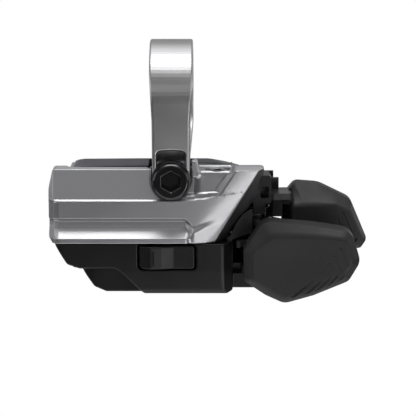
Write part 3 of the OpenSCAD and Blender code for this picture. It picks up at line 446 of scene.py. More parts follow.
def node(tree, kind, inputs=(), **settings):
    """New node with its settings, and its inputs set or linked by name or number."""
    n = tree.nodes.new(kind)
    for k, value in settings.items():
        setattr(n, k, value)
    for key, value in dict(inputs).items():
        if isinstance(value, bpy.types.NodeSocket):
            tree.links.new(value, n.inputs[key])
        else:
            n.inputs[key].default_value = value
    return n


def math_out(tree, operation, *values):
    """Output of a Math node."""
    return node(tree, "ShaderNodeMath", dict(enumerate(values)), operation=operation).outputs[0]


def range_out(tree, value, from_min, from_max, to_min, to_max):
    """Output of a straight map from one range to another."""
    n = node(tree, "ShaderNodeMapRange", {"Value": value, "From Min": from_min, "From Max": from_max,
                                          "To Min": to_min, "To Max": to_max})
    return n.outputs[0]


def noise_out(tree, place, scale, detail, rough=0.5, distortion=0.0):
    """Output of a noise texture at a place."""
    n = node(tree, "ShaderNodeTexNoise", {"Vector": place, "Scale": scale, "Detail": detail,
                                          "Roughness": rough, "Distortion": distortion})
    return n.outputs["Fac"]


def grain_group():
    """Fine cast or blasted grain: a height and a mask that varies slowly."""
    g, start, end = new_group("fine_grain", [("Size", 0.15), ("Strength", 1.0)],
                              [("Height", "NodeSocketFloat"), ("Mottle", "NodeSocketFloat")])
    place = node(g, "ShaderNodeTexCoord").outputs["Object"]
    scale = math_out(g, "DIVIDE", 1000.0, start.outputs["Size"])
    fine = noise_out(g, place, scale, 3.0, 0.6)
    slow = noise_out(g, place, 160.0, 4.0, 0.55)
    g.links.new(math_out(g, "MULTIPLY", fine, start.outputs["Strength"]), end.inputs["Height"])
    g.links.new(slow, end.inputs["Mottle"])
    return g


def wear_group():
    """Slight polish along worn edges, and faint smudges in between."""
    g, start, end = new_group("edge_wear", [("Reach", 0.5), ("Smudge", 0.3)],
                              [("Edge", "NodeSocketFloat"), ("Smudges", "NodeSocketFloat")])
    place = node(g, "ShaderNodeTexCoord").outputs["Object"]
    point = node(g, "ShaderNodeNewGeometry").outputs["Pointiness"]
    edge = range_out(g, point, 0.52, 0.62, 0.0, start.outputs["Reach"])
    patch = noise_out(g, place, 420.0, 5.0, 0.65)
    cloud = noise_out(g, place, 90.0, 3.0, distortion=0.6)
    smudges = range_out(g, cloud, 0.45, 0.75, 0.0, start.outputs["Smudge"])
    g.links.new(math_out(g, "MULTIPLY", edge, patch), end.inputs["Edge"])
    g.links.new(smudges, end.inputs["Smudges"])
    return g


GROUPS = {}


def surface(name, colour, edge_colour, rough, rough_spread=0.05, metallic=0.0, grain=0.15,
            bump=0.0, mottle=0.1, edge=0.5, smudge=0.3, coat=0.0, specular=0.5):
    """Material with grain, slow mottling, edge wear and smudges round one base colour."""
    if not GROUPS:
        GROUPS["grain"], GROUPS["wear"] = grain_group(), wear_group()
    m = bpy.data.materials.new(name)
    m.use_nodes = True
    m.diffuse_color = (*colour[:3], 1)
    t = m.node_tree
    t.nodes.clear()
    out = node(t, "ShaderNodeOutputMaterial")
    shader = node(t, "ShaderNodeBsdfPrincipled", {
        "Metallic": metallic, "Coat Weight": coat, "Coat Roughness": 0.1, "Specular IOR Level": specular})
    t.links.new(shader.outputs[0], out.inputs["Surface"])
    g = node(t, "ShaderNodeGroup", {"Size": grain}, node_tree=GROUPS["grain"])
    w = node(t, "ShaderNodeGroup", {"Reach": edge, "Smudge": smudge}, node_tree=GROUPS["wear"])
    dark = tuple(c * (1 - mottle) for c in colour[:3]) + (1,)
    light = tuple(min(1, c * (1 + mottle)) for c in colour[:3]) + (1,)
    bare = (*edge_colour[:3], 1)
    base = node(t, "ShaderNodeMix", {0: g.outputs["Mottle"], 6: dark, 7: light}, data_type="RGBA")
    worn = node(t, "ShaderNodeMix", {0: w.outputs["Edge"], 6: base.outputs[2], 7: bare}, data_type="RGBA")
    t.links.new(worn.outputs[2], shader.inputs["Base Color"])
    even = range_out(t, g.outputs["Mottle"], 0.3, 0.7, rough - rough_spread, rough + rough_spread)
    smeared = math_out(t, "MULTIPLY_ADD", w.outputs["Smudges"], rough_spread, even)
    t.links.new(smeared, shader.inputs["Roughness"])
    if bump:
        b = node(t, "ShaderNodeBump", {"Height": g.outputs["Height"], "Strength": 1.0, "Distance": bump * MM})
        t.links.new(b.outputs[0], shader.inputs["Normal"])
    return m


def grey(level):
    """Neutral colour of one level."""
    return (level, level, level)


def finish_settings(c):
    """Name, colour, colour of worn edges, roughness and further settings of each finish, by slot."""
    alloy = {"rough_spread": 0.02, "metallic": 1.0, "grain": 0.12, "mottle": 0.03, "edge": 0.3}
    steel = {"metallic": 1.0, "grain": 0.2, "bump": 0.003}
    plate = {"metallic": 1.0, "grain": 0.3, "bump": 0.004}
    nylon = {"grain": 0.25, "bump": 0.004}
    soft_nylon = {"grain": 0.2, "bump": 0.008, "mottle": 0.08}
    rubber = {"grain": 0.16, "bump": 0.03, "mottle": 0.15, "specular": 0.6}
    return {
        "polished_alloy": ("Polished alloy", c.band, grey(0.8), 0.33, {**alloy, "bump": 0.006}),
        "satin_alloy": ("Satin alloy", c.silver, (0.75, 0.75, 0.76), 0.36, {**alloy, "bump": 0.01}),
        # The rear cover's blue-grey colour and its worn-edge colour are dark nylon with a painted sheen of the
        # overhead light
        "cover_nylon": ("Cover nylon with painted sheen", c.cover, (0.12, 0.12, 0.15), 0.45, soft_nylon),
        "black_nylon": ("Black nylon", c.housing, grey(0.05), 0.36, {**nylon, "rough_spread": 0.04}),
        "side_nylon": ("Side nylon", (0.03, 0.03, 0.031), grey(0.1), 0.4, nylon),
        "lever_black": ("Bracket nylon", (0.008, 0.008, 0.009), grey(0.06), 0.35, nylon),
        "arm_black": ("Coated arm", (0.014, 0.014, 0.015), grey(0.15), 0.38,
                      {"grain": 0.3, "bump": 0.005, "coat": 0.2}),
        "black_oxide": ("Black oxide", c.oxide, grey(0.3), 0.2,
                        {**steel, "rough_spread": 0.03, "smudge": 0.2}),
        "paddle_rubber": ("Paddle rubber", c.rubber, grey(0.05), 0.52, rubber),
        "paddle_core": ("Core nylon", grey(0.03), grey(0.1), 0.5, {}),
        "seal_rubber": ("Seal rubber", grey(0.01), grey(0.03), 0.7, {}),
        "zinc_steel": ("Zinc steel", (0.16, 0.16, 0.165), grey(0.8), 0.3, plate),
        "spring_steel": ("Spring steel", (0.1, 0.1, 0.105), grey(0.3), 0.28, steel),
        "bush_bronze": ("Bush bronze", (0.5, 0.33, 0.14), (0.8, 0.6, 0.3), 0.35, {**steel, "bump": 0.004}),
        "cell_steel": ("Cell steel", grey(0.62), grey(0.8), 0.3, steel),
        "contact_gold": ("Contact gold", (0.8, 0.58, 0.22), (0.9, 0.75, 0.4), 0.25,
                         {**steel, "bump": 0.002}),
        "board_green": ("Board green", (0.015, 0.09, 0.04), (0.3, 0.3, 0.1), 0.3,
                        {"grain": 0.6, "bump": 0.01}),
        "shield_tin": ("Shield tin", grey(0.6), grey(0.8), 0.35, plate),
        "switch_black": ("Switch black", grey(0.02), grey(0.1), 0.45, {}),
        "plunger_white": ("Plunger white", (0.65, 0.65, 0.62), grey(0.8), 0.4, {}),
    }


FINISHES = {}


def finish(slot):
    """Finish by the record's slot name, made when first asked for."""
    if slot not in FINISHES:
        name, colour, worn, rough, more = finish_settings(bpy.context.scene.shifter_colours)[slot]
        FINISHES[slot] = surface(name, colour, worn, rough, **more)
    return FINISHES[slot]


def dress(obj, slot, body, *stands_for):
    """Gives a piece its finish, its body and the CAD nodes it stands for."""
    obj.data.materials.clear()
    obj.data.materials.append(finish(slot))
    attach(obj, body)
    if stands_for:
        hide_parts(*stands_for)
    return obj


# Pieces


class SHIFTER_OT_clamp_band(bpy.types.Operator):
    """Polished clamp band with its bevelled edges and the pocket over the bolt"""
    bl_idname = "shifter.clamp_band"
    bl_label = "Clamp band"

    def execute(self, context):
        outer, wide, narrow = -BAND_LO[1], BAND_HI[0], 4.3
        ear_end = BAND_LO[2]
        ring = [(outer * math.cos(a), outer * math.sin(a)) for a in np.radians(np.linspace(180, -90, 73))]
        side = ring + [(EAR_Y1, -outer), (EAR_Y1, ear_end), (LUG_Y1, ear_end), (LUG_Y1, -4),
                       (LUG_Y0, -4), (LUG_Y0, ear_end), (-outer, ear_end)]
        front = outline([(-wide, 16), (-wide, 7, 6), (-narrow - 0.15, -4, 6), (-narrow, ear_end - 1),
                         (narrow, ear_end - 1), (narrow + 0.15, -4, 6), (wide, 7, 6), (wide, 16)])
        back = outline([(-wide, 16), (-wide, -7, 8), (-narrow, -16, 4), (-narrow, ear_end - 1),
                        (narrow, ear_end - 1), (narrow, -16, 4), (wide, -7, 8), (wide, 16)])

        def width(p):
            t = ramp(p[1], -6, 6)
            return (1 - t) * front(p[0], p[2]) + t * back(p[0], p[2])

        flank = outline(side)
        body = meet(0.55, lambda p: flank(p[1], p[2]), width)
        below_bolt = beyond((0, 0, BOLT_Z), (0, 0, -1))
        body = meet(0.3, body, join(0, rod(1, (0, BOLT_Z), narrow, -outer - 1, 8), below_bolt))
        # pocket over the bolt's head, and the head's round seat
        half, top = 3.4, -10.9
        arch = [(-half, BOLT_Z), (half, BOLT_Z), (half, top, 1.1), (0, top + 0.3, 4), (-half, top, 1.1)]
        pocket = along(1, arch, -20, SEAT_Y, 0)
        pocket = meet(0.3, pocket, beyond((0, -12.9, -11.2), (0, 0.75, 0.62)))
        body = less(0.22, body, pocket)
        body = less(0.12, body, rod(1, (0, BOLT_Z), 4.48, -20, SEAT_Y))
        hole = rod(1, (0, BOLT_Z), BOLT_HOLE, -20, 4)
        body = less(0.05, body, hole, rod(1, (0, BOLT_Z), 4.6, -20, SEAT_Y + 0.6))
        body = less(0.35, body, rod(0, (0, 0), BORE, -20, 20))
        band = carve("clamp_band_polished", body, BAND_LO, BAND_HI, 0.22)
        dress(band, "polished_alloy", "root", "clamp_band")
        return {"FINISHED"}


class SHIFTER_OT_clamp_bolt(bpy.types.Operator):
    """Black socket bolt with its chamfered head and hexagon"""
    bl_idname = "shifter.clamp_bolt"
    bl_label = "Clamp bolt"

    def execute(self, context):
        front, seat = BOLT_LO[1], BOLT_LO[1] + 3.6
        c = (0, BOLT_Z)
        head = rod(1, c, 4.23, front, seat, 0.1)
        cone = lambda p: (np.hypot(p[0], p[2] - BOLT_Z) - 3.78 - (p[1] - front) * 1.05) * 0.69
        head = meet(0.12, head, cone)
        # hexagon socket with a small lead-in
        corner = 2.0 / math.cos(math.radians(30))
        angles = np.radians(np.arange(0, 360, 60))
        hexagon = [(corner * math.sin(a), BOLT_Z + corner * math.cos(a)) for a in angles]
        socket = along(1, hexagon, front - 1, front + 2.6)
        lead = lambda p: (outline(hexagon)(p[0], p[2]) + (p[1] - front) - 0.32) * 0.7
        lead = meet(0, lead, slab(1, front - 1, front + 0.5))
        head = less(0.06, head, socket)
        head = less(0.05, head, lead)
        shank = rod(1, c, 2.5, seat - 0.5, BOLT_HI[1], 0.4)
        bolt = carve("clamp_bolt_head", join(0.2, head, shank), BOLT_LO, BOLT_HI, 0.13)
        dress(bolt, "black_oxide", "root", "clamp_bolt")
        return {"FINISHED"}


def soft(t, k):
    """t where it is above 0 and 0 below, with a bend of size k between them."""
    return (t + np.sqrt(t * t + k * k)) / 2


def nearer(a, b, k):
    """The smaller of two depths, with a fillet of size k."""
    return a - soft(a - b, k)


def silver_front(f, d, shoulder, groove, turn):
    """Depth y of the silver housing's front at each (x, z) of the front view."""
    sweep_x, sweep_z = [-5, 4, 8, 11.6, 15.4, 17], [-22.86, -22.8, -22.4, -21.7, -21.2, -21.1]

    def depth(x, z):
        u = d - z
        # flat band, folded softly into the large facet at the right
        t = (x - 6.2) * 0.725 - (z + 29.1) * 0.689
        bend = 0.45 + 0.24 * np.clip(z + 29.1, 0, 8)
        plain = f + turn * soft(t, bend) * ramp(x, -2, 3)
        # leaning facet left of the clamp, above a small bevel
        low = np.interp(x, sweep_x, sweep_z)
        over = z - low
        bevel = 0.32 * np.clip((over + 0.17) / 0.36, 0, 1)
        lean = bevel + np.clip(over, 0, 7) * 0.27
        # pocket that leaves the boss standing beside the clamp, over a narrow ledge
        thin = np.interp(x, [8, 15.4], [1, 0.12])
        v = over / thin
        steps = bevel * thin + np.interp(v, [0, 0.3, 1.15, 1.6, 2.0], [0, 0, 0.1, 0.68, 0.72])
        edge = 14.9 + 0.62 * (z + 16)
        inner = (1.05 + 0.07 * (z + 18)) * (1 - ramp(x, edge - 2.1, edge + 0.3))
        pocket = nearer(steps, inner, 0.12)
        pocket = np.where(over > -0.2, pocket, 0)
        corner = np.clip((7.0 - x) / 1.7, 0, 0.97)
        pocket = pocket + 1.1 * (1 - np.sqrt(1 - corner ** 2)) * ramp(over, 0.6, 1.6)
        right = ramp(x, 0.5, 4.5)
        upper = (1 - right) * lean + right * pocket
        y = plain + upper
        # top edge
        y = y + np.clip(0.95 - u, 0, 3) * 3
        # groove, which turns down and fades out beside the clamp
        end = ramp(x, 3.0, 5.4)
        g = z + 1.5 * ramp(x, 2.6, 5.4)
        y = y + (1 - end) * groove * np.interp(-g, [27.1, 27.3, 27.8, 28.1, 29.8], [0, 0.25, 1.6, 1.75, 1.5])
        # sloping shoulder over an upright lip; at the right it becomes a low second facet
        lip = shoulder + 0.08
        roll = lip + np.clip((z + 31.9) * 0.9, 0, 9) + 12 * soft(-33 - z, 0.01)
        swell_z = np.interp(x, [3, 5.6, 8, 10.5, 16], [-30.4, -29.4, -28.3, -27.4, -26.6])
        rise = 0.5 * (1 - ramp(x, 5, 13)) * ramp(swell_z - z, -0.5, 1.2)
        w = ramp(x, 3.3, 5.2)
        y = (1 - w) * nearer(y, roll, 0.12) + w * (y - rise)
        # left end: an upright border beside the facet, and two soft facets beside the band
        return y + 1.3 * soft(-27.5 - x, 0.04) + 0.4 * soft(-26.3 - x, 0.1) * ramp(low - z, 0, 0.6)

    return depth


def side_plane():
    """A point of the slanting plane at the right end of the silver housing, and its outward normal."""
    a = np.array((20.25, FRONT_Y + 0.27, DECK_Z - 0.9))
    b = np.array((10.6, FRONT_Y + 1.05, DECK_Z - 16.8))
    c = np.array((20.5, FRONT_Y + 6.3, DECK_Z - 7))
    n = np.cross(b - a, c - a)
    n /= np.linalg.norm(n)
    return a, n if n[0] > 0 else -n


def silver_outside(edge, groove, turn):
    """Silver housing with its front, slanting side, boss and falling roof."""
    f, d, part = FRONT_Y, DECK_Z, PART_Z
    left, right, rear = TOP_LO[0], TOP_HI[0], TOP_HI[1]
    face = silver_front(f, d, TOP_LO[1], groove, turn)
    form = lambda p: 0.85 * (face(p[0], p[2]) - p[1])
    form = meet(0.4, form, beyond((left + 0.1, f + 2.2, 0), (-0.87, -0.5, 0)))
    a, n = side_plane()
    facing = np.array((0.16, -0.97, -0.15))
    form = meet(0.05, form, beyond(a, n), beyond(a - (n + facing) * 0.085, n + 2.2 * facing))
    form = meet(edge, form, lambda p: p[1] - rear)
    form = less(0.8, form, block((5.3, -30, d - 1.0), (14.3, -3.3, 5), 0.4))
    form = less(0.28, form, rod(2, BOSS, 2.95, d - 2.4, 5))
    form = less(0.1, form, rod(2, BOSS, 1.2, d - 5.4, 5))

    front_view = along(1, [
        (left + 1.1, part, 0.5), (left, part + 1.4, 0.8), (left, d - 5.7, 2), (left + 1, d - 1.2, 0.8),
        (left + 2.2, d, 0.8), (right, d, 0.9), (right, d - 2.3, 0.4), (right - 1.2, d - 3.2),
        (right - 1.2, d - 9.9), (18.6, d - 10.7), (16.6, d - 11.8, 1.5), (15, d - 14), (13, part)], -40, 40)
    plan = along(2, [(left, -30), (right, -30), (right, rear, 2), (left, rear, 3)], -60, 0)
    form = meet(edge, form, front_view, plan)

    # the roof falls away behind the silver strips at both ends
    fall = beyond((0, COVER_Y, d - 0.2), (0, 3.5, 19.5))
    for x, outward in ((left + 4.4, 1), (14.4, -1)):
        end = meet(0, lambda p: -fall(p), beyond((x, 0, 0), (outward, 0, 0)),
                   beyond((0, f + 3.6, 0), (0, -1, 0)))
        form = less(0.15, form, end)
    return form


def with_cover_step(form):
    """Sinks the roof under the dark cover, with a small gap round it."""
    gap = 0.1
    left, front, right = TOP_LO[0] + 4.4 - gap, COVER_Y - gap, 14.3 + gap
    cover = [(left, front, 1), (-ROOM_HALF, front), (-ROOM_HALF, ROOM_BACK), (ROOM_HALF, ROOM_BACK),
             (ROOM_HALF, -3 - gap), (right, -3 - gap, 1.2), (right + 2, 1, 2), (right + 2, 14), (left, 14)]
    return less(0.12, form, along(2, cover, DECK_Z - 2.2, 5))


def with_clamp_notch(form):
    """Adds the wedge and the lug at the clamp, and cuts the notch in which the clamp stands."""
    d, floor = DECK_Z, BOLT_Z - 4.9
    post = [(4.6, -13.5, 0.4), (5.9, -13.7, 0.5), (6.6, -15.9, 0.6), (6.6, d - 2.6, 0.6), (4.6, d - 2.6)]
    form = join(0.4, form, along(1, post, SEAT_Y + 0.5, SEAT_Y + 5, 0.4))
    lug = block((-LUG_HALF, LUG_Y0, floor - 2), (LUG_HALF, LUG_Y1, -3))
    lug = less(0.3, lug, rod(0, (0, 0), BORE + 0.1, -30, 30))
    form = join(0.2, form, meet(0.2, lug, slab(0, -LUG_HALF, LUG_HALF)))
    # narrow and round at the bolt, wide behind it
    wide = block((-ROOM_HALF, -8.2, floor), (ROOM_HALF, ROOM_BACK, 5))
    slot = join(0, rod(1, (0, BOLT_Z), 4.6, -30, -7.6), block((-4.52, -30, BOLT_Z), (4.52, -7.6, 5)))
    keep = block((-LUG_HALF, LUG_Y0, -60), (LUG_HALF, LUG_Y1, 0))
    room = less(0, join(0, wide, slot), keep)
    form = less(0.6, form, slot)
    form = less(0.2, form, room)
    return less(0.1, form, rod(1, (0, BOLT_Z), BOLT_HOLE, LUG_Y0 - 1, LUG_Y1 + 1))


def with_silver_hollows(form, groove):
    """Hollows the silver housing to its wall, with the lever bay open to the right."""
    f, d, bottom, floor = FRONT_Y, DECK_Z, PART_Z - 1, BOLT_Z - 4.9
    left, right, rear = TOP_LO[0], TOP_HI[0], TOP_HI[1]
    roof = d - 2.2 - WALL
    a, n = side_plane()
    inner_side = beyond(a - n * WALL, n)
    front_room = block((left + WALL, f + groove + WALL + 0.3, bottom), (13.4, rear - WALL, floor - WALL))
    lever_bay = block((13.4, -8.4, bottom), (80, rear - 2, d - 3.9))
    hollows = [
        block((left + 4.4 + WALL, f + 2.2 + WALL, bottom), (-ROOM_HALF - WALL, rear - WALL, roof)),
        meet(0, front_room, inner_side),
        block((ROOM_HALF + WALL, -5.2, bottom), (14.4, rear - 2, roof)),
        meet(0, lever_bay, inner_side),
        block((13.4, f + 6.3, bottom), (80, rear - 2, d - 3.9)),
        block((right - 1.3, -80, bottom), (80, rear - 2, d - 3.0)),
    ]
    form = less(0.1, form, *hollows)
    return less(0, form, rod(2, AXLE, 2.5, d - 5, d - 3.0))


class SHIFTER_OT_upper_housing(bpy.types.Operator):
    """Satin silver upper housing: facets, flat band, groove, rolled shoulder, clamp notch and boss"""
    bl_idname = "shifter.upper_housing"
    bl_label = "Upper housing"

    def execute(self, context):
        s = context.scene.shifter_sizes
        groove = s.groove_depth / MM
        form = silver_outside(s.edge_round / MM, groove, math.tan(s.facet_turn))
        form = with_clamp_notch(with_cover_step(form))
        form = with_silver_hollows(form, groove)
        housing = carve("upper_housing_silver", form, TOP_LO, TOP_HI, s.mesh_step / MM)
        dress(housing, "satin_alloy", "root", "top_housing")
        return {"FINISHED"}


class SHIFTER_OT_rear_cover(bpy.types.Operator):
    """Crowned cover on the top and the rear, dark nylon whose blue-grey colour is a painted sheen of the
    overhead light
    """
    bl_idname = "shifter.rear_cover"
    bl_label = "Rear cover"

    def execute(self, context):
        d, left, right, rear = DECK_Z, COVER_LO[0], COVER_HI[0], TOP_HI[1]
        out, low = rear + 1.6, PART_Z + 3
        plan = [(left, COVER_Y, 1), (-ROOM_HALF, COVER_Y), (-ROOM_HALF, ROOM_BACK), (ROOM_HALF, ROOM_BACK),
                (ROOM_HALF, -3), (right - 2, -3, 1.2), (right, 1, 2), (right, rear + 1), (left, rear + 1)]
        top = along(2, plan, d - 2.2, d + 2)
        skirt = along(1, [(left, low, 2), (left, d + 2), (right, d + 2), (right, low, 2)], rear, out)
        crown = along(1, [
            (left + 0.7, -60), (left + 0.7, d - 2.1, 0.5), (left + 1.9, d - 1.0, 0.8),
            (left + 3.4, d - 0.35, 2), (-8, d, 8), (10.6, d, 3), (right, d - 1.7), (right, -60)], -60, 60)
        fall = along(0, [(-60, -60), (-60, d), (3, d, 8), (out, d - 2, 1), (out, -60)], -60, 60)
        corner = beyond((11.4, 13, d - 1.9), (20.8, 9.75, 78.4))
        body = meet(0.3, join(0.2, top, skirt), crown, fall, corner)
        body = less(0.2, body, block((-ROOM_HALF, -80, d - 8), (ROOM_HALF, ROOM_BACK, 5)))
        cover = carve("rear_cover_nylon", body, COVER_LO, COVER_HI, 0.28)
        # its finish paints the overhead light's sheen into the dark nylon as a blue-grey colour
        dress(cover, "cover_nylon", "root", "antenna_cover")
        return {"FINISHED"}


def lid_place():
    """Height of the battery cover's upper face, and its front and right edges."""
    return PART_Z - 6.4, LID_LO[1], LID_HI[0]


def base_shell():
    """Lower housing outside and inside, with the recess for the battery cover."""
    left, front, rear = BASE_LO[0], BASE_Y, TOP_HI[1]
    base, part, ridge = BASE_LO[2], PART_Z, PART_Z - 6
    view = [(left, part), (left + 3.2, part - 5, 1.4), (-21.5, ridge, 1), (-12.9, ridge, 2),
            (-10.4, ridge - 2.2, 1), (-6.3, base, 0.5), (12.8, base, 0.5), (17.3, base + 1.6), (17.3, part)]
    plan = [(left, front, 2.4), (12.2, front, 1.2), (14.4, -7.6, 1.2), (14.4, rear, 1), (left, rear, 3)]
    side = [(front, part + 1), (front, part - 6.6, 0.8), (front + 0.5, base + 1.2, 0.9),
            (front + 1.6, base, 0.8), (rear, base, 1), (rear, part + 1)]
    body = meet(0.45, along(1, view, -40, 40), along(2, plan, base, part - 0.02), along(0, side, -60, 60))

    lid_z, lid_front, lid_right = lid_place()
    inside_view = [
        (left + WALL, part + 1), (left + WALL, part), (left + 3.4 + WALL, lid_z + WALL),
        (lid_right + WALL, lid_z + WALL), (lid_right + WALL, base + WALL), (80, base + WALL), (80, part + 1)]
    inside_plan = [
        (left + WALL, front + WALL, 1), (12.2 - WALL, front + WALL, 1), (14.4 - WALL, -7.6 + WALL, 1),
        (14.4 - WALL, rear - WALL, 1), (left + WALL, rear - WALL, 2)]
    hollow = meet(0, along(1, inside_view, -40, 40), along(2, inside_plan, base - 1, part + 1))
    return less(0.1, body, hollow, block((-80, lid_front, base - 1), (lid_right, 80, lid_z)))


def base_housing():
    """Lower housing with its foot under the levers, button window and openings."""
    front, rear, base, part = BASE_Y, TOP_HI[1], BASE_LO[2], PART_Z
    foot = [(12, -5), (20.6, -5, 2), (22.6, 3, 3), (20.6, rear - 0.6, 2), (12, rear - 0.6)]
    foot = along(2, foot, base + 0.6, -41.3, 0.2)
    post = block((12, rear - 2, base + 2.2), (20.4, rear, part), 0.2)
    body = join(0.2, base_shell(), post, foot)
    gap = 0.35
    k0, k1, z0, z1 = KEY_LO[0] - gap, KEY_HI[0] + gap, KEY_LO[2] - gap, KEY_HI[2] + gap
    eye_z = (KEY_LO[2] + KEY_HI[2]) / 2
    window = along(1, [(k0, z0, 1.2), (k0, z1, 0.4), (k1, z1, 0.7), (k1, z0, 0.9)], -40, front + 2.8)
    body = less(0.3, body, window)
    body = less(0.1, body, block((2.2, front + 0.6, eye_z - 1), (5.6, -6, eye_z + 1)))
    lever_side = block((11.8, -0.6, -39.5), (14.41, 6, part + 1))
    return less(0.1, body, lever_side, rod(2, AXLE, 4, -42.3, -40.3))


def battery_lid():
    """Battery cover with the cell's seat, its screw hole and the ring in its underside."""
    rear, base = TOP_HI[1], BASE_LO[2]
    lid_z, front, right = lid_place()
    left = -21.5
    view = [(left, lid_z), (-18.2, base + 1.5, 1.5), (-15.4, base + 0.3, 1),
            (right, base + 0.3), (right, lid_z)]
    plan = [(left, front, 3), (right, front), (right, rear - 0.6), (left, rear - 0.6, 3)]
    lid = meet(0.5, along(1, view, front, rear), along(2, plan, -80, lid_z))
    seat = rod(2, CELL, 8.3, lid_z - 4.6, lid_z + 1)
    lid = less(0.15, lid, seat, rod(2, LID_SCREW, 1.1, -80, 0), rod(2, LID_SCREW, 1.9, -80, base + 2.3))
    ring = less(0, rod(2, CELL, 6.2, -80, base + 0.62), rod(2, CELL, 5.6, -80, 0))
    return less(0.1, lid, ring)


class SHIFTER_OT_lower_housing(bpy.types.Operator):
    """Black moulded housing with its button window, and the recessed battery cover"""
    bl_idname = "shifter.lower_housing"
    bl_label = "Lower housing"

    def execute(self, context):
        housing = carve("lower_housing_black", base_housing(), BASE_LO, BASE_HI, 0.26)
        dress(housing, "black_nylon", "root", "lower_housing")
        cover = carve("battery_cover_black", battery_lid(), LID_LO, LID_HI, 0.28)
        dress(cover, "black_nylon", "root", "battery_cover")
        return {"FINISHED"}


class SHIFTER_OT_function_button(bpy.types.Operator):
    """Rocking push button with its raised left end"""
    bl_idname = "shifter.function_button"
    bl_label = "Function button"

    def execute(self, context):
        left, right, lo, hi = KEY_LO[0], KEY_HI[0], KEY_LO[2], KEY_HI[2]
        mid, face = (lo + hi) / 2, BASE_Y
        pin = (4.0, -7.6)
        shape = along(1, [(left, lo, 1.1), (left, hi, 0.4), (right, hi, 0.6), (right, lo, 0.8)], -40, 40)
        plan = along(2, [
            (left, face + 1.6), (left, face + 0.2, 0.4), (left + 2.6, face - 0.9, 1.6),
            (left + 5.4, face - 0.6, 2.4), (left + 8, face, 3), (right, face, 0.3),
            (right, face + 1.6)], -60, 0)
        body = meet(0.35, shape, plan)
        rib = block((-5.4, face + 1.4, mid - 1), (-3.0, face + 2.5, mid + 1), 0.1)
        arm = block((3.2, face + 1.4, mid - 0.6), (4.8, pin[1], mid + 0.6))
        eye = join(0.1, arm, rod(2, pin, 1.0, mid - 0.6, mid + 0.6))
        body = join(0.1, body, rib, eye)
        body = less(0.05, body, rod(2, pin, 0.53, mid - 1, mid + 1))
        x, y = left + 3.2, face - 0.85
        body = less(0.12, body, capsule((x, y, lo + 1.0), (x, y, hi - 1.1), 0.2))
        key = carve("function_button_black", body, KEY_LO, KEY_HI, 0.14)
        dress(key, "black_nylon", "button", "function_button")
        return {"FINISHED"}


# Each paddle's outline where its sides end, and that of its face, seen from the front
LOWER_SIDE = [(16.75, -34.2, 2.6), (16.95, -41.2, 1.8), (21.9, -44.5, 6), (26.3, -46.5, 3.2),
              (33, -44.6, 6), (41.2, -41.2, 2.6), (43.9, -36.6, 3.2), (41.9, -29.6, 3.4),
              (33, -28.2, 10), (21.3, -27.25, 3.0)]
LOWER_FACE = [(18.5, -33.6, 1.2), (18.6, -40.6, 1.2), (26.4, -45.2, 3), (33, -43.4, 6), (39.9, -40.2, 2.4),
              (42.2, -36.5, 2.6), (40.6, -30.9, 2.6), (36, -30.5, 6), (23.4, -30.4, 2.4)]
UPPER_SIDE = [(26.1, -24.6, 1.5), (29.2, -20.75, 2), (35, -21.2, 6), (42.6, -24.9, 3.4), (46.7, -34.6, 1.8),
              (45.2, -36.9, 1.2), (30.5, -37.2, 4), (26.3, -33, 4)]
UPPER_FACE = [(28.4, -25.75, 1), (38.8, -25.25, 2.4), (42.4, -27.0, 2), (45.3, -33.6, 1.6),
              (43.6, -35.8, 1.2), (30.5, -36.0, 3), (28.4, -33, 2)]
LOWER_CORE = [(19, -40.8, 1), (19, -30.6, 1), (37.5, -31, 2), (40, -36.4, 2), (36, -41.4, 2),
              (26.5, -43.4, 2)]
UPPER_CORE = [(28.6, -34.6, 1), (28.6, -24.2, 1), (37, -25, 2), (41.4, -28.6, 2), (43.4, -34.6, 1)]
LOWER_SLOTS = [((41.5, -39.2), (40.2, -40.6)), ((40.0, -39.4), (38.0, -41.5)), ((38.2, -39.7), (35.9, -42.3)),
               ((36.3, -40.4), (33.8, -43.0)), ((34.3, -41.0), (31.3, -43.8)), ((32.4, -41.0), (28.2, -44.5))]


def with_thin_lines(body, face, start, step, count):
    """Cuts thin slanting lines in a paddle's face, each with a dot at its top."""
    for i in range(count):
        a = np.array(start) + i * np.array(step)
        b = a + (2.2, -4.8)
        body = less(0.06, body, capsule((a[0], face, a[1]), (b[0], face, b[1]), 0.13))
        dot = capsule((a[0], face - 0.05, a[1]), (a[0] + 0.05, face - 0.05, a[1]), 0.3)
        body = less(0.06, body, dot)
    return body


def lower_rubber(face, back, depth):
    """Cover of the lower paddle, open at its back for its core and its arm."""
    body = sweep_between(LOWER_FACE, LOWER_SIDE, face, face + 1.9)
    # the face dips a little in the middle, where the thumb rests
    dip = lambda p: (face + 0.35 * np.exp(-(((p[0] - 29) / 8) ** 2 + ((p[2] + 36) / 5) ** 2)) - p[1])
    body = meet(0.7, body, dip)
    body = meet(1.3, body, beyond((0, back, 0), (0, 1, 0)))
    for a, b in LOWER_SLOTS:
        body = less(0.12, body, capsule((a[0], face - 0.1, a[1]), (b[0], face + 0.1, b[1]), depth))
    body = with_thin_lines(body, face, (39.1, -33.1), (-1.43, -1.8), 4)
    arm_room = block((20.4, back - 3.6, -31.6), (26.8, back + 1, -28.8))
    return less(0.1, body, along(1, LOWER_CORE, back - 3.4, back + 1), arm_room)


def upper_rubber(face, back, depth):
    """Cover of the upper paddle, open at its back for its core and at its top for its arm."""
    body = sweep_between(UPPER_FACE, UPPER_SIDE, face, face + 4.2)
    body = meet(0.6, body, beyond((0, face, 0), (0, -1, 0)))
    body = meet(1.3, body, beyond((0, back, 0), (0, 1, 0)))
    body = with_thin_lines(body, face, (40.6, -27.5), (-1.25, -1.7), 3)
    body = less(0.12, body, capsule((43.6, face - 0.1, -34.0), (42.8, face, -35.0), depth))
    arm_rooms = block((20, 0.1, -25.9), (28.8, 5.6, -24.15)), block((20, -3, -24.25), (28.6, 7.1, -22.6))
    return less(0.1, body, along(1, UPPER_CORE, 2.2, 5.6), *arm_rooms)


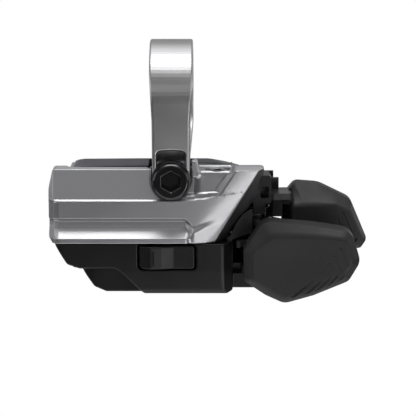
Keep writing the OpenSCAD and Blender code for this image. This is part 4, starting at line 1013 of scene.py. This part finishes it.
class SHIFTER_OT_paddles(bpy.types.Operator):
    """Rubber thumb paddles with their bevels, thin lines and chevron slots"""
    bl_idname = "shifter.paddles"
    bl_label = "Thumb paddles"

    def execute(self, context):
        depth = context.scene.shifter_sizes.slot_depth / MM
        lower = lower_rubber(PAD_LO[1], PAD_HI[1], depth)
        upper = upper_rubber(UP_LO[1], UP_HI[1], depth)
        lower = carve("lower_paddle_rubber", lower, PAD_LO, PAD_HI, 0.17)
        dress(lower, "paddle_rubber", "lower_lever", "lower_paddle")
        upper = carve("upper_paddle_rubber", upper, UP_LO, UP_HI, 0.17)
        dress(upper, "paddle_rubber", "upper_lever", "upper_paddle")
        return {"FINISHED"}


def wire_tree():
    """Geometry nodes that sweep a round wire along a mesh path, with its bends rounded."""
    g = bpy.data.node_groups.new("wire_along_path", "GeometryNodeTree")
    kinds = {"Geometry": "Geometry", "Wire": "Float", "Bend": "Float", "Material": "Material"}
    for label, kind in kinds.items():
        g.interface.new_socket(label, in_out="INPUT", socket_type="NodeSocket" + kind)
    g.interface.new_socket("Geometry", in_out="OUTPUT", socket_type="NodeSocketGeometry")
    start, end = g.nodes.new("NodeGroupInput"), g.nodes.new("NodeGroupOutput")
    path = node(g, "GeometryNodeMeshToCurve", {"Mesh": start.outputs["Geometry"]})
    bent = node(g, "GeometryNodeFilletCurve", {"Curve": path.outputs[0], "Radius": start.outputs["Bend"]})
    radius = math_out(g, "MULTIPLY", start.outputs["Wire"], 0.5)
    ring = node(g, "GeometryNodeCurvePrimitiveCircle", {"Resolution": 14, "Radius": radius})
    tube = node(g, "GeometryNodeCurveToMesh", {
        "Curve": bent.outputs[0], "Profile Curve": ring.outputs[0], "Fill Caps": True})
    real = node(g, "GeometryNodeRealizeInstances", {0: tube.outputs[0]})
    done = node(g, "GeometryNodeSetMaterial", {
        "Geometry": real.outputs[0], "Material": start.outputs["Material"]})
    g.links.new(done.outputs[0], end.inputs[0])
    return g


def grown(obj, tree, values):
    """Runs a node tree on an object and keeps the result as its plain mesh."""
    mod = obj.modifiers.new("shape", "NODES")
    mod.node_group = tree
    sockets = {i.name: i.identifier for i in tree.interface.items_tree if i.in_out == "INPUT"}
    for label, value in values.items():
        mod[sockets[label]] = value
    bpy.context.view_layer.update()
    mesh = bpy.data.meshes.new_from_object(obj.evaluated_get(bpy.context.evaluated_depsgraph_get()))
    obj.modifiers.clear()
    obj.data = mesh
    return obj


class SHIFTER_OT_springs(bpy.types.Operator):
    """Return springs of the two levers: round wire coiled about the axle, with two legs each"""
    bl_idname = "shifter.springs"
    bl_label = "Return springs"

    def execute(self, context):
        s = context.scene.shifter_sizes
        wire, turns = s.wire / MM, s.spring_turns
        tree = wire_tree()
        bush, play = 3.4, 0.15
        coil, pitch, steps = bush + wire / 2 + play, wire + 0.12, 40 * turns
        for name, body in (("lower_spring", "lower_lever"), ("upper_spring", "upper_lever")):
            top = cad_box(name)[1][2] - wire / 2
            path = [(AXLE[0] + coil + 0.4, AXLE[1] - 3.6, top)]
            for i in range(steps + 1):
                a = 2 * math.pi * turns * i / steps
                x, y = AXLE[0] + coil * math.cos(a), AXLE[1] + coil * math.sin(a)
                path.append((x, y, top - pitch * turns * i / steps))
            path.append((AXLE[0] + coil - 0.3, AXLE[1] + 3.4, top - pitch * turns))
            mesh = bpy.data.meshes.new(name + "_wire")
            points = [tuple(c * MM for c in q) for q in path]
            mesh.from_pydata(points, [(i, i + 1) for i in range(len(path) - 1)], [])
            obj = bpy.data.objects.new(name + "_wire", mesh)
            context.scene.collection.objects.link(obj)
            grown(obj, tree, {"Wire": wire * MM, "Bend": 0.15 * MM, "Material": finish("spring_steel")})
            obj.data.polygons.foreach_set("use_smooth", np.ones(len(obj.data.polygons), bool))
            dress(obj, "spring_steel", body, name)
        return {"FINISHED"}


class SHIFTER_OT_cad_finishes(bpy.types.Operator):
    """Finishes of the CAD nodes that are shown as they are"""
    bl_idname = "shifter.cad_finishes"
    bl_label = "Finishes of carried-over parts"

    def execute(self, context):
        slots = {p["node"]: p["material_slot"] for p in frame["record"]["subparts"]}
        for name, obj in frame["nodes"].items():
            if obj.hide_render:
                continue
            obj.data.materials.clear()
            obj.data.materials.append(finish(slots[name]))
        return {"FINISHED"}


def spread(tree, value, lo, hi, at_lo, at_hi):
    """Smooth change of a value from one level to another."""
    if lo > hi:
        lo, hi, at_lo, at_hi = hi, lo, at_hi, at_lo
    n = node(tree, "ShaderNodeMapRange", {"Value": value, "From Min": lo, "From Max": hi,
                                          "To Min": at_lo, "To Max": at_hi}, interpolation_type="SMOOTHSTEP")
    return n.outputs[0]


def card(name, centre, direction, width, height, strength):
    """Soft area light that looks along a direction."""
    light = bpy.data.lights.new(name, "AREA")
    light.shape, light.size, light.size_y = "RECTANGLE", width, height
    light.energy = strength
    obj = bpy.data.objects.new(name, light)
    obj.location = centre
    obj.rotation_mode = "QUATERNION"
    obj.rotation_quaternion = Vector(direction).to_track_quat("-Z", "Y")
    obj.visible_camera = False
    bpy.context.scene.collection.objects.link(obj)
    return obj


TARGET = Vector((8.55, 0, -26.6)) * MM
PICTURE_WIDE = 416
FOCAL = 2016  # in picture points
CAMERA_AWAY = 0.480
CAMERA_RISE = math.radians(10)
FLOOR_Z, FLOOR_HALF = -0.25, 6.0
# Name, azimuth, elevation, distance, width, height and watts of each soft light
SOFTBOXES = (
    ("softbox_top", 0, 80, 0.5, 0.4, 0.15, 0.66),
    ("softbox_right", 28, -25, 0.5, 0.36, 0.28, 0.64),
)


def place_camera(scene):
    """Camera at the photograph's viewing angle."""
    away = Vector((0, -math.cos(CAMERA_RISE), math.sin(CAMERA_RISE)))
    cam = bpy.data.objects.new("camera", bpy.data.cameras.new("camera"))
    cam.data.sensor_width = 36
    cam.data.lens = cam.data.sensor_width * FOCAL / PICTURE_WIDE
    cam.data.clip_start, cam.data.clip_end = 0.01, 20
    cam.location = TARGET + away * CAMERA_AWAY
    cam.rotation_mode = "QUATERNION"
    cam.rotation_quaternion = (-away).to_track_quat("-Z", "Y")
    scene.collection.objects.link(cam)
    scene.camera = cam


def mirrored(tree, path):
    """1 for the rays that metal and glass send on, otherwise 0."""
    return math_out(tree, "MAXIMUM", path.outputs["Is Glossy Ray"], path.outputs["Is Transmission Ray"])


def studio_world():
    """World that is white to the camera, and a grey studio to the object."""
    world = bpy.data.worlds.new("studio")
    world.use_nodes = True
    t = world.node_tree
    t.nodes.clear()
    path = node(t, "ShaderNodeLightPath")
    direction = node(t, "ShaderNodeTexCoord").outputs["Generated"]
    x, y, z = node(t, "ShaderNodeSeparateXYZ", {0: direction}).outputs
    # dim in front, soft grey behind, with a lighter zone ahead at mid height and a glow overhead
    level = spread(t, y, -0.35, 0.45, 0.05, 0.3)
    middle = math_out(t, "MULTIPLY", spread(t, z, 0.12, 0.36, 0.0, 0.42), spread(t, z, 0.6, 0.45, 0.0, 1.0))
    ahead = math_out(t, "MULTIPLY", middle, spread(t, y, -0.3, -0.6, 0.0, 1.0))
    level = math_out(t, "ADD", level, ahead)
    level = math_out(t, "ADD", level, spread(t, z, 0.66, 0.97, 0.0, 0.8))
    # bright to the left and right, for the leaning facets
    wide, high = math_out(t, "ABSOLUTE", x), math_out(t, "ABSOLUTE", z)
    ends = math_out(t, "MULTIPLY", spread(t, wide, 0.72, 0.9, 0.0, 0.8), spread(t, high, 0.55, 0.3, 0.0, 1.0))
    ends = math_out(t, "MULTIPLY", ends, spread(t, y, 0.3, 0.05, 0.0, 1.0))
    lit = math_out(t, "ADD", level, ends)
    # the white background, as polished metal sees it: a low band behind the object
    behind, band = spread(t, y, 0.75, 0.92, 0.0, 1.0), spread(t, z, 0.12, 0.04, 0.0, 1.0)
    shiny = math_out(t, "MULTIPLY", math_out(t, "MULTIPLY", behind, band), mirrored(t, path))
    total = node(t, "ShaderNodeMix", {0: shiny, 2: lit, 3: 1.0}).outputs[0]
    studio = node(t, "ShaderNodeBackground", {"Color": (1, 1, 1, 1), "Strength": total})
    white = node(t, "ShaderNodeBackground", {"Color": (1, 1, 1, 1), "Strength": 1.0})
    mix = node(t, "ShaderNodeMixShader", {
        0: path.outputs["Is Camera Ray"], 1: studio.outputs[0], 2: white.outputs[0]})
    node(t, "ShaderNodeOutputWorld", {"Surface": mix.outputs[0]})
    return world


def floor_paint():
    """Pale paint that keeps the object's shadow, white to the camera far away."""
    m = bpy.data.materials.new("Pale floor")
    m.use_nodes = True
    t = m.node_tree
    t.nodes.clear()
    path = node(t, "ShaderNodeLightPath")
    spot = node(t, "ShaderNodeTexCoord").outputs["Object"]
    y = node(t, "ShaderNodeSeparateXYZ", {0: spot}).outputs["Y"]
    below = node(t, "ShaderNodeVectorMath", {0: spot, 1: (0, 0, FLOOR_Z)}, operation="DISTANCE")
    away = below.outputs["Value"]
    gloss = mirrored(t, path)
    # white to the camera past the object's shadow
    far = spread(t, away, 0.35, 0.6, 0.0, 1.0)
    camera_share = math_out(t, "MULTIPLY", far, path.outputs["Is Camera Ray"])
    # white to polished metal far behind the object, and pale close in front of it
    rear = spread(t, y, 1.5, 2.5, 0.0, 1.0)
    near = math_out(t, "MULTIPLY", spread(t, away, 0.42, 0.28, 0.0, 0.6), spread(t, y, 0.1, -0.1, 0.0, 1.0))
    gloss_share = math_out(t, "MULTIPLY", math_out(t, "MAXIMUM", rear, near), gloss)
    share = math_out(t, "MAXIMUM", camera_share, gloss_share)
    # dark to polished metal on the rest of the floor
    rest = math_out(t, "MULTIPLY", spread(t, y, 0.8, 1.5, 1.0, 0.0), spread(t, away, 0.2, 0.5, 0.0, 0.95))
    flagged = math_out(t, "MULTIPLY", rest, gloss)
    pale, dark = (*grey(0.8), 1), (*grey(0.12), 1)
    paint = node(t, "ShaderNodeMix", {0: flagged, 6: pale, 7: dark}, data_type="RGBA")
    diffuse = node(t, "ShaderNodeBsdfDiffuse", {"Color": paint.outputs[2]})
    glow = node(t, "ShaderNodeEmission", {"Color": (1, 1, 1, 1), "Strength": 1.0})
    mix = node(t, "ShaderNodeMixShader", {0: share, 1: diffuse.outputs[0], 2: glow.outputs[0]})
    node(t, "ShaderNodeOutputMaterial", {"Surface": mix.outputs[0]})
    return m


class SHIFTER_OT_stage(bpy.types.Operator):
    """Camera, pale floor, soft studio light and white background"""
    bl_idname = "shifter.stage"
    bl_label = "Stage"

    def execute(self, context):
        scene = context.scene
        scene.view_settings.view_transform = "Standard"
        place_camera(scene)
        scene.world = studio_world()
        centre = Vector((8.55, 0, -26)) * MM
        for name, azimuth, elevation, distance, width, height, watts in SOFTBOXES:
            a, e = math.radians(azimuth), math.radians(elevation)
            off = Vector((math.sin(a) * math.cos(e), -math.cos(a) * math.cos(e), math.sin(e)))
            card(name, centre + off * distance, -off, width, height, watts)
        mesh = bpy.data.meshes.new("floor")
        r, z = FLOOR_HALF, FLOOR_Z
        mesh.from_pydata([(-r, -r, z), (r, -r, z), (r, r, z), (-r, r, z)], [], [(0, 1, 2, 3)])
        floor = bpy.data.objects.new("floor", mesh)
        scene.collection.objects.link(floor)
        floor.data.materials.append(floor_paint())
        return {"FINISHED"}


# Panel


OPERATORS = (
    SHIFTER_OT_clamp_band, SHIFTER_OT_clamp_bolt, SHIFTER_OT_upper_housing, SHIFTER_OT_rear_cover,
    SHIFTER_OT_lower_housing, SHIFTER_OT_function_button, SHIFTER_OT_paddles, SHIFTER_OT_springs,
    SHIFTER_OT_cad_finishes, SHIFTER_OT_stage,
)


class SHIFTER_PT_panel(bpy.types.Panel):
    """Lists the pieces of the shift switch"""
    bl_idname = "SHIFTER_PT_panel"
    bl_label = "Shift Switch"
    bl_space_type = "VIEW_3D"
    bl_region_type = "UI"
    bl_category = "Shift Switch"

    def draw(self, context):
        for group in (context.scene.shifter_sizes, context.scene.shifter_colours):
            for name in group.__annotations__:
                self.layout.prop(group, name)
        for operator in OPERATORS:
            self.layout.operator(operator.bl_idname)


CLASSES = (SHIFTER_PG_sizes, SHIFTER_PG_colours, *OPERATORS, SHIFTER_PT_panel)


def register():
    for c in CLASSES:
        bpy.utils.register_class(c)
    bpy.types.Scene.shifter_sizes = PointerProperty(type=SHIFTER_PG_sizes)
    bpy.types.Scene.shifter_colours = PointerProperty(type=SHIFTER_PG_colours)


def unregister():
    del bpy.types.Scene.shifter_colours
    del bpy.types.Scene.shifter_sizes
    for c in reversed(CLASSES):
        bpy.utils.unregister_class(c)


def main():
    register()
    for operator in OPERATORS:
        group, name = operator.bl_idname.split(".")
        getattr(getattr(bpy.ops, group), name)()


if __name__ == "__main__":
    main()
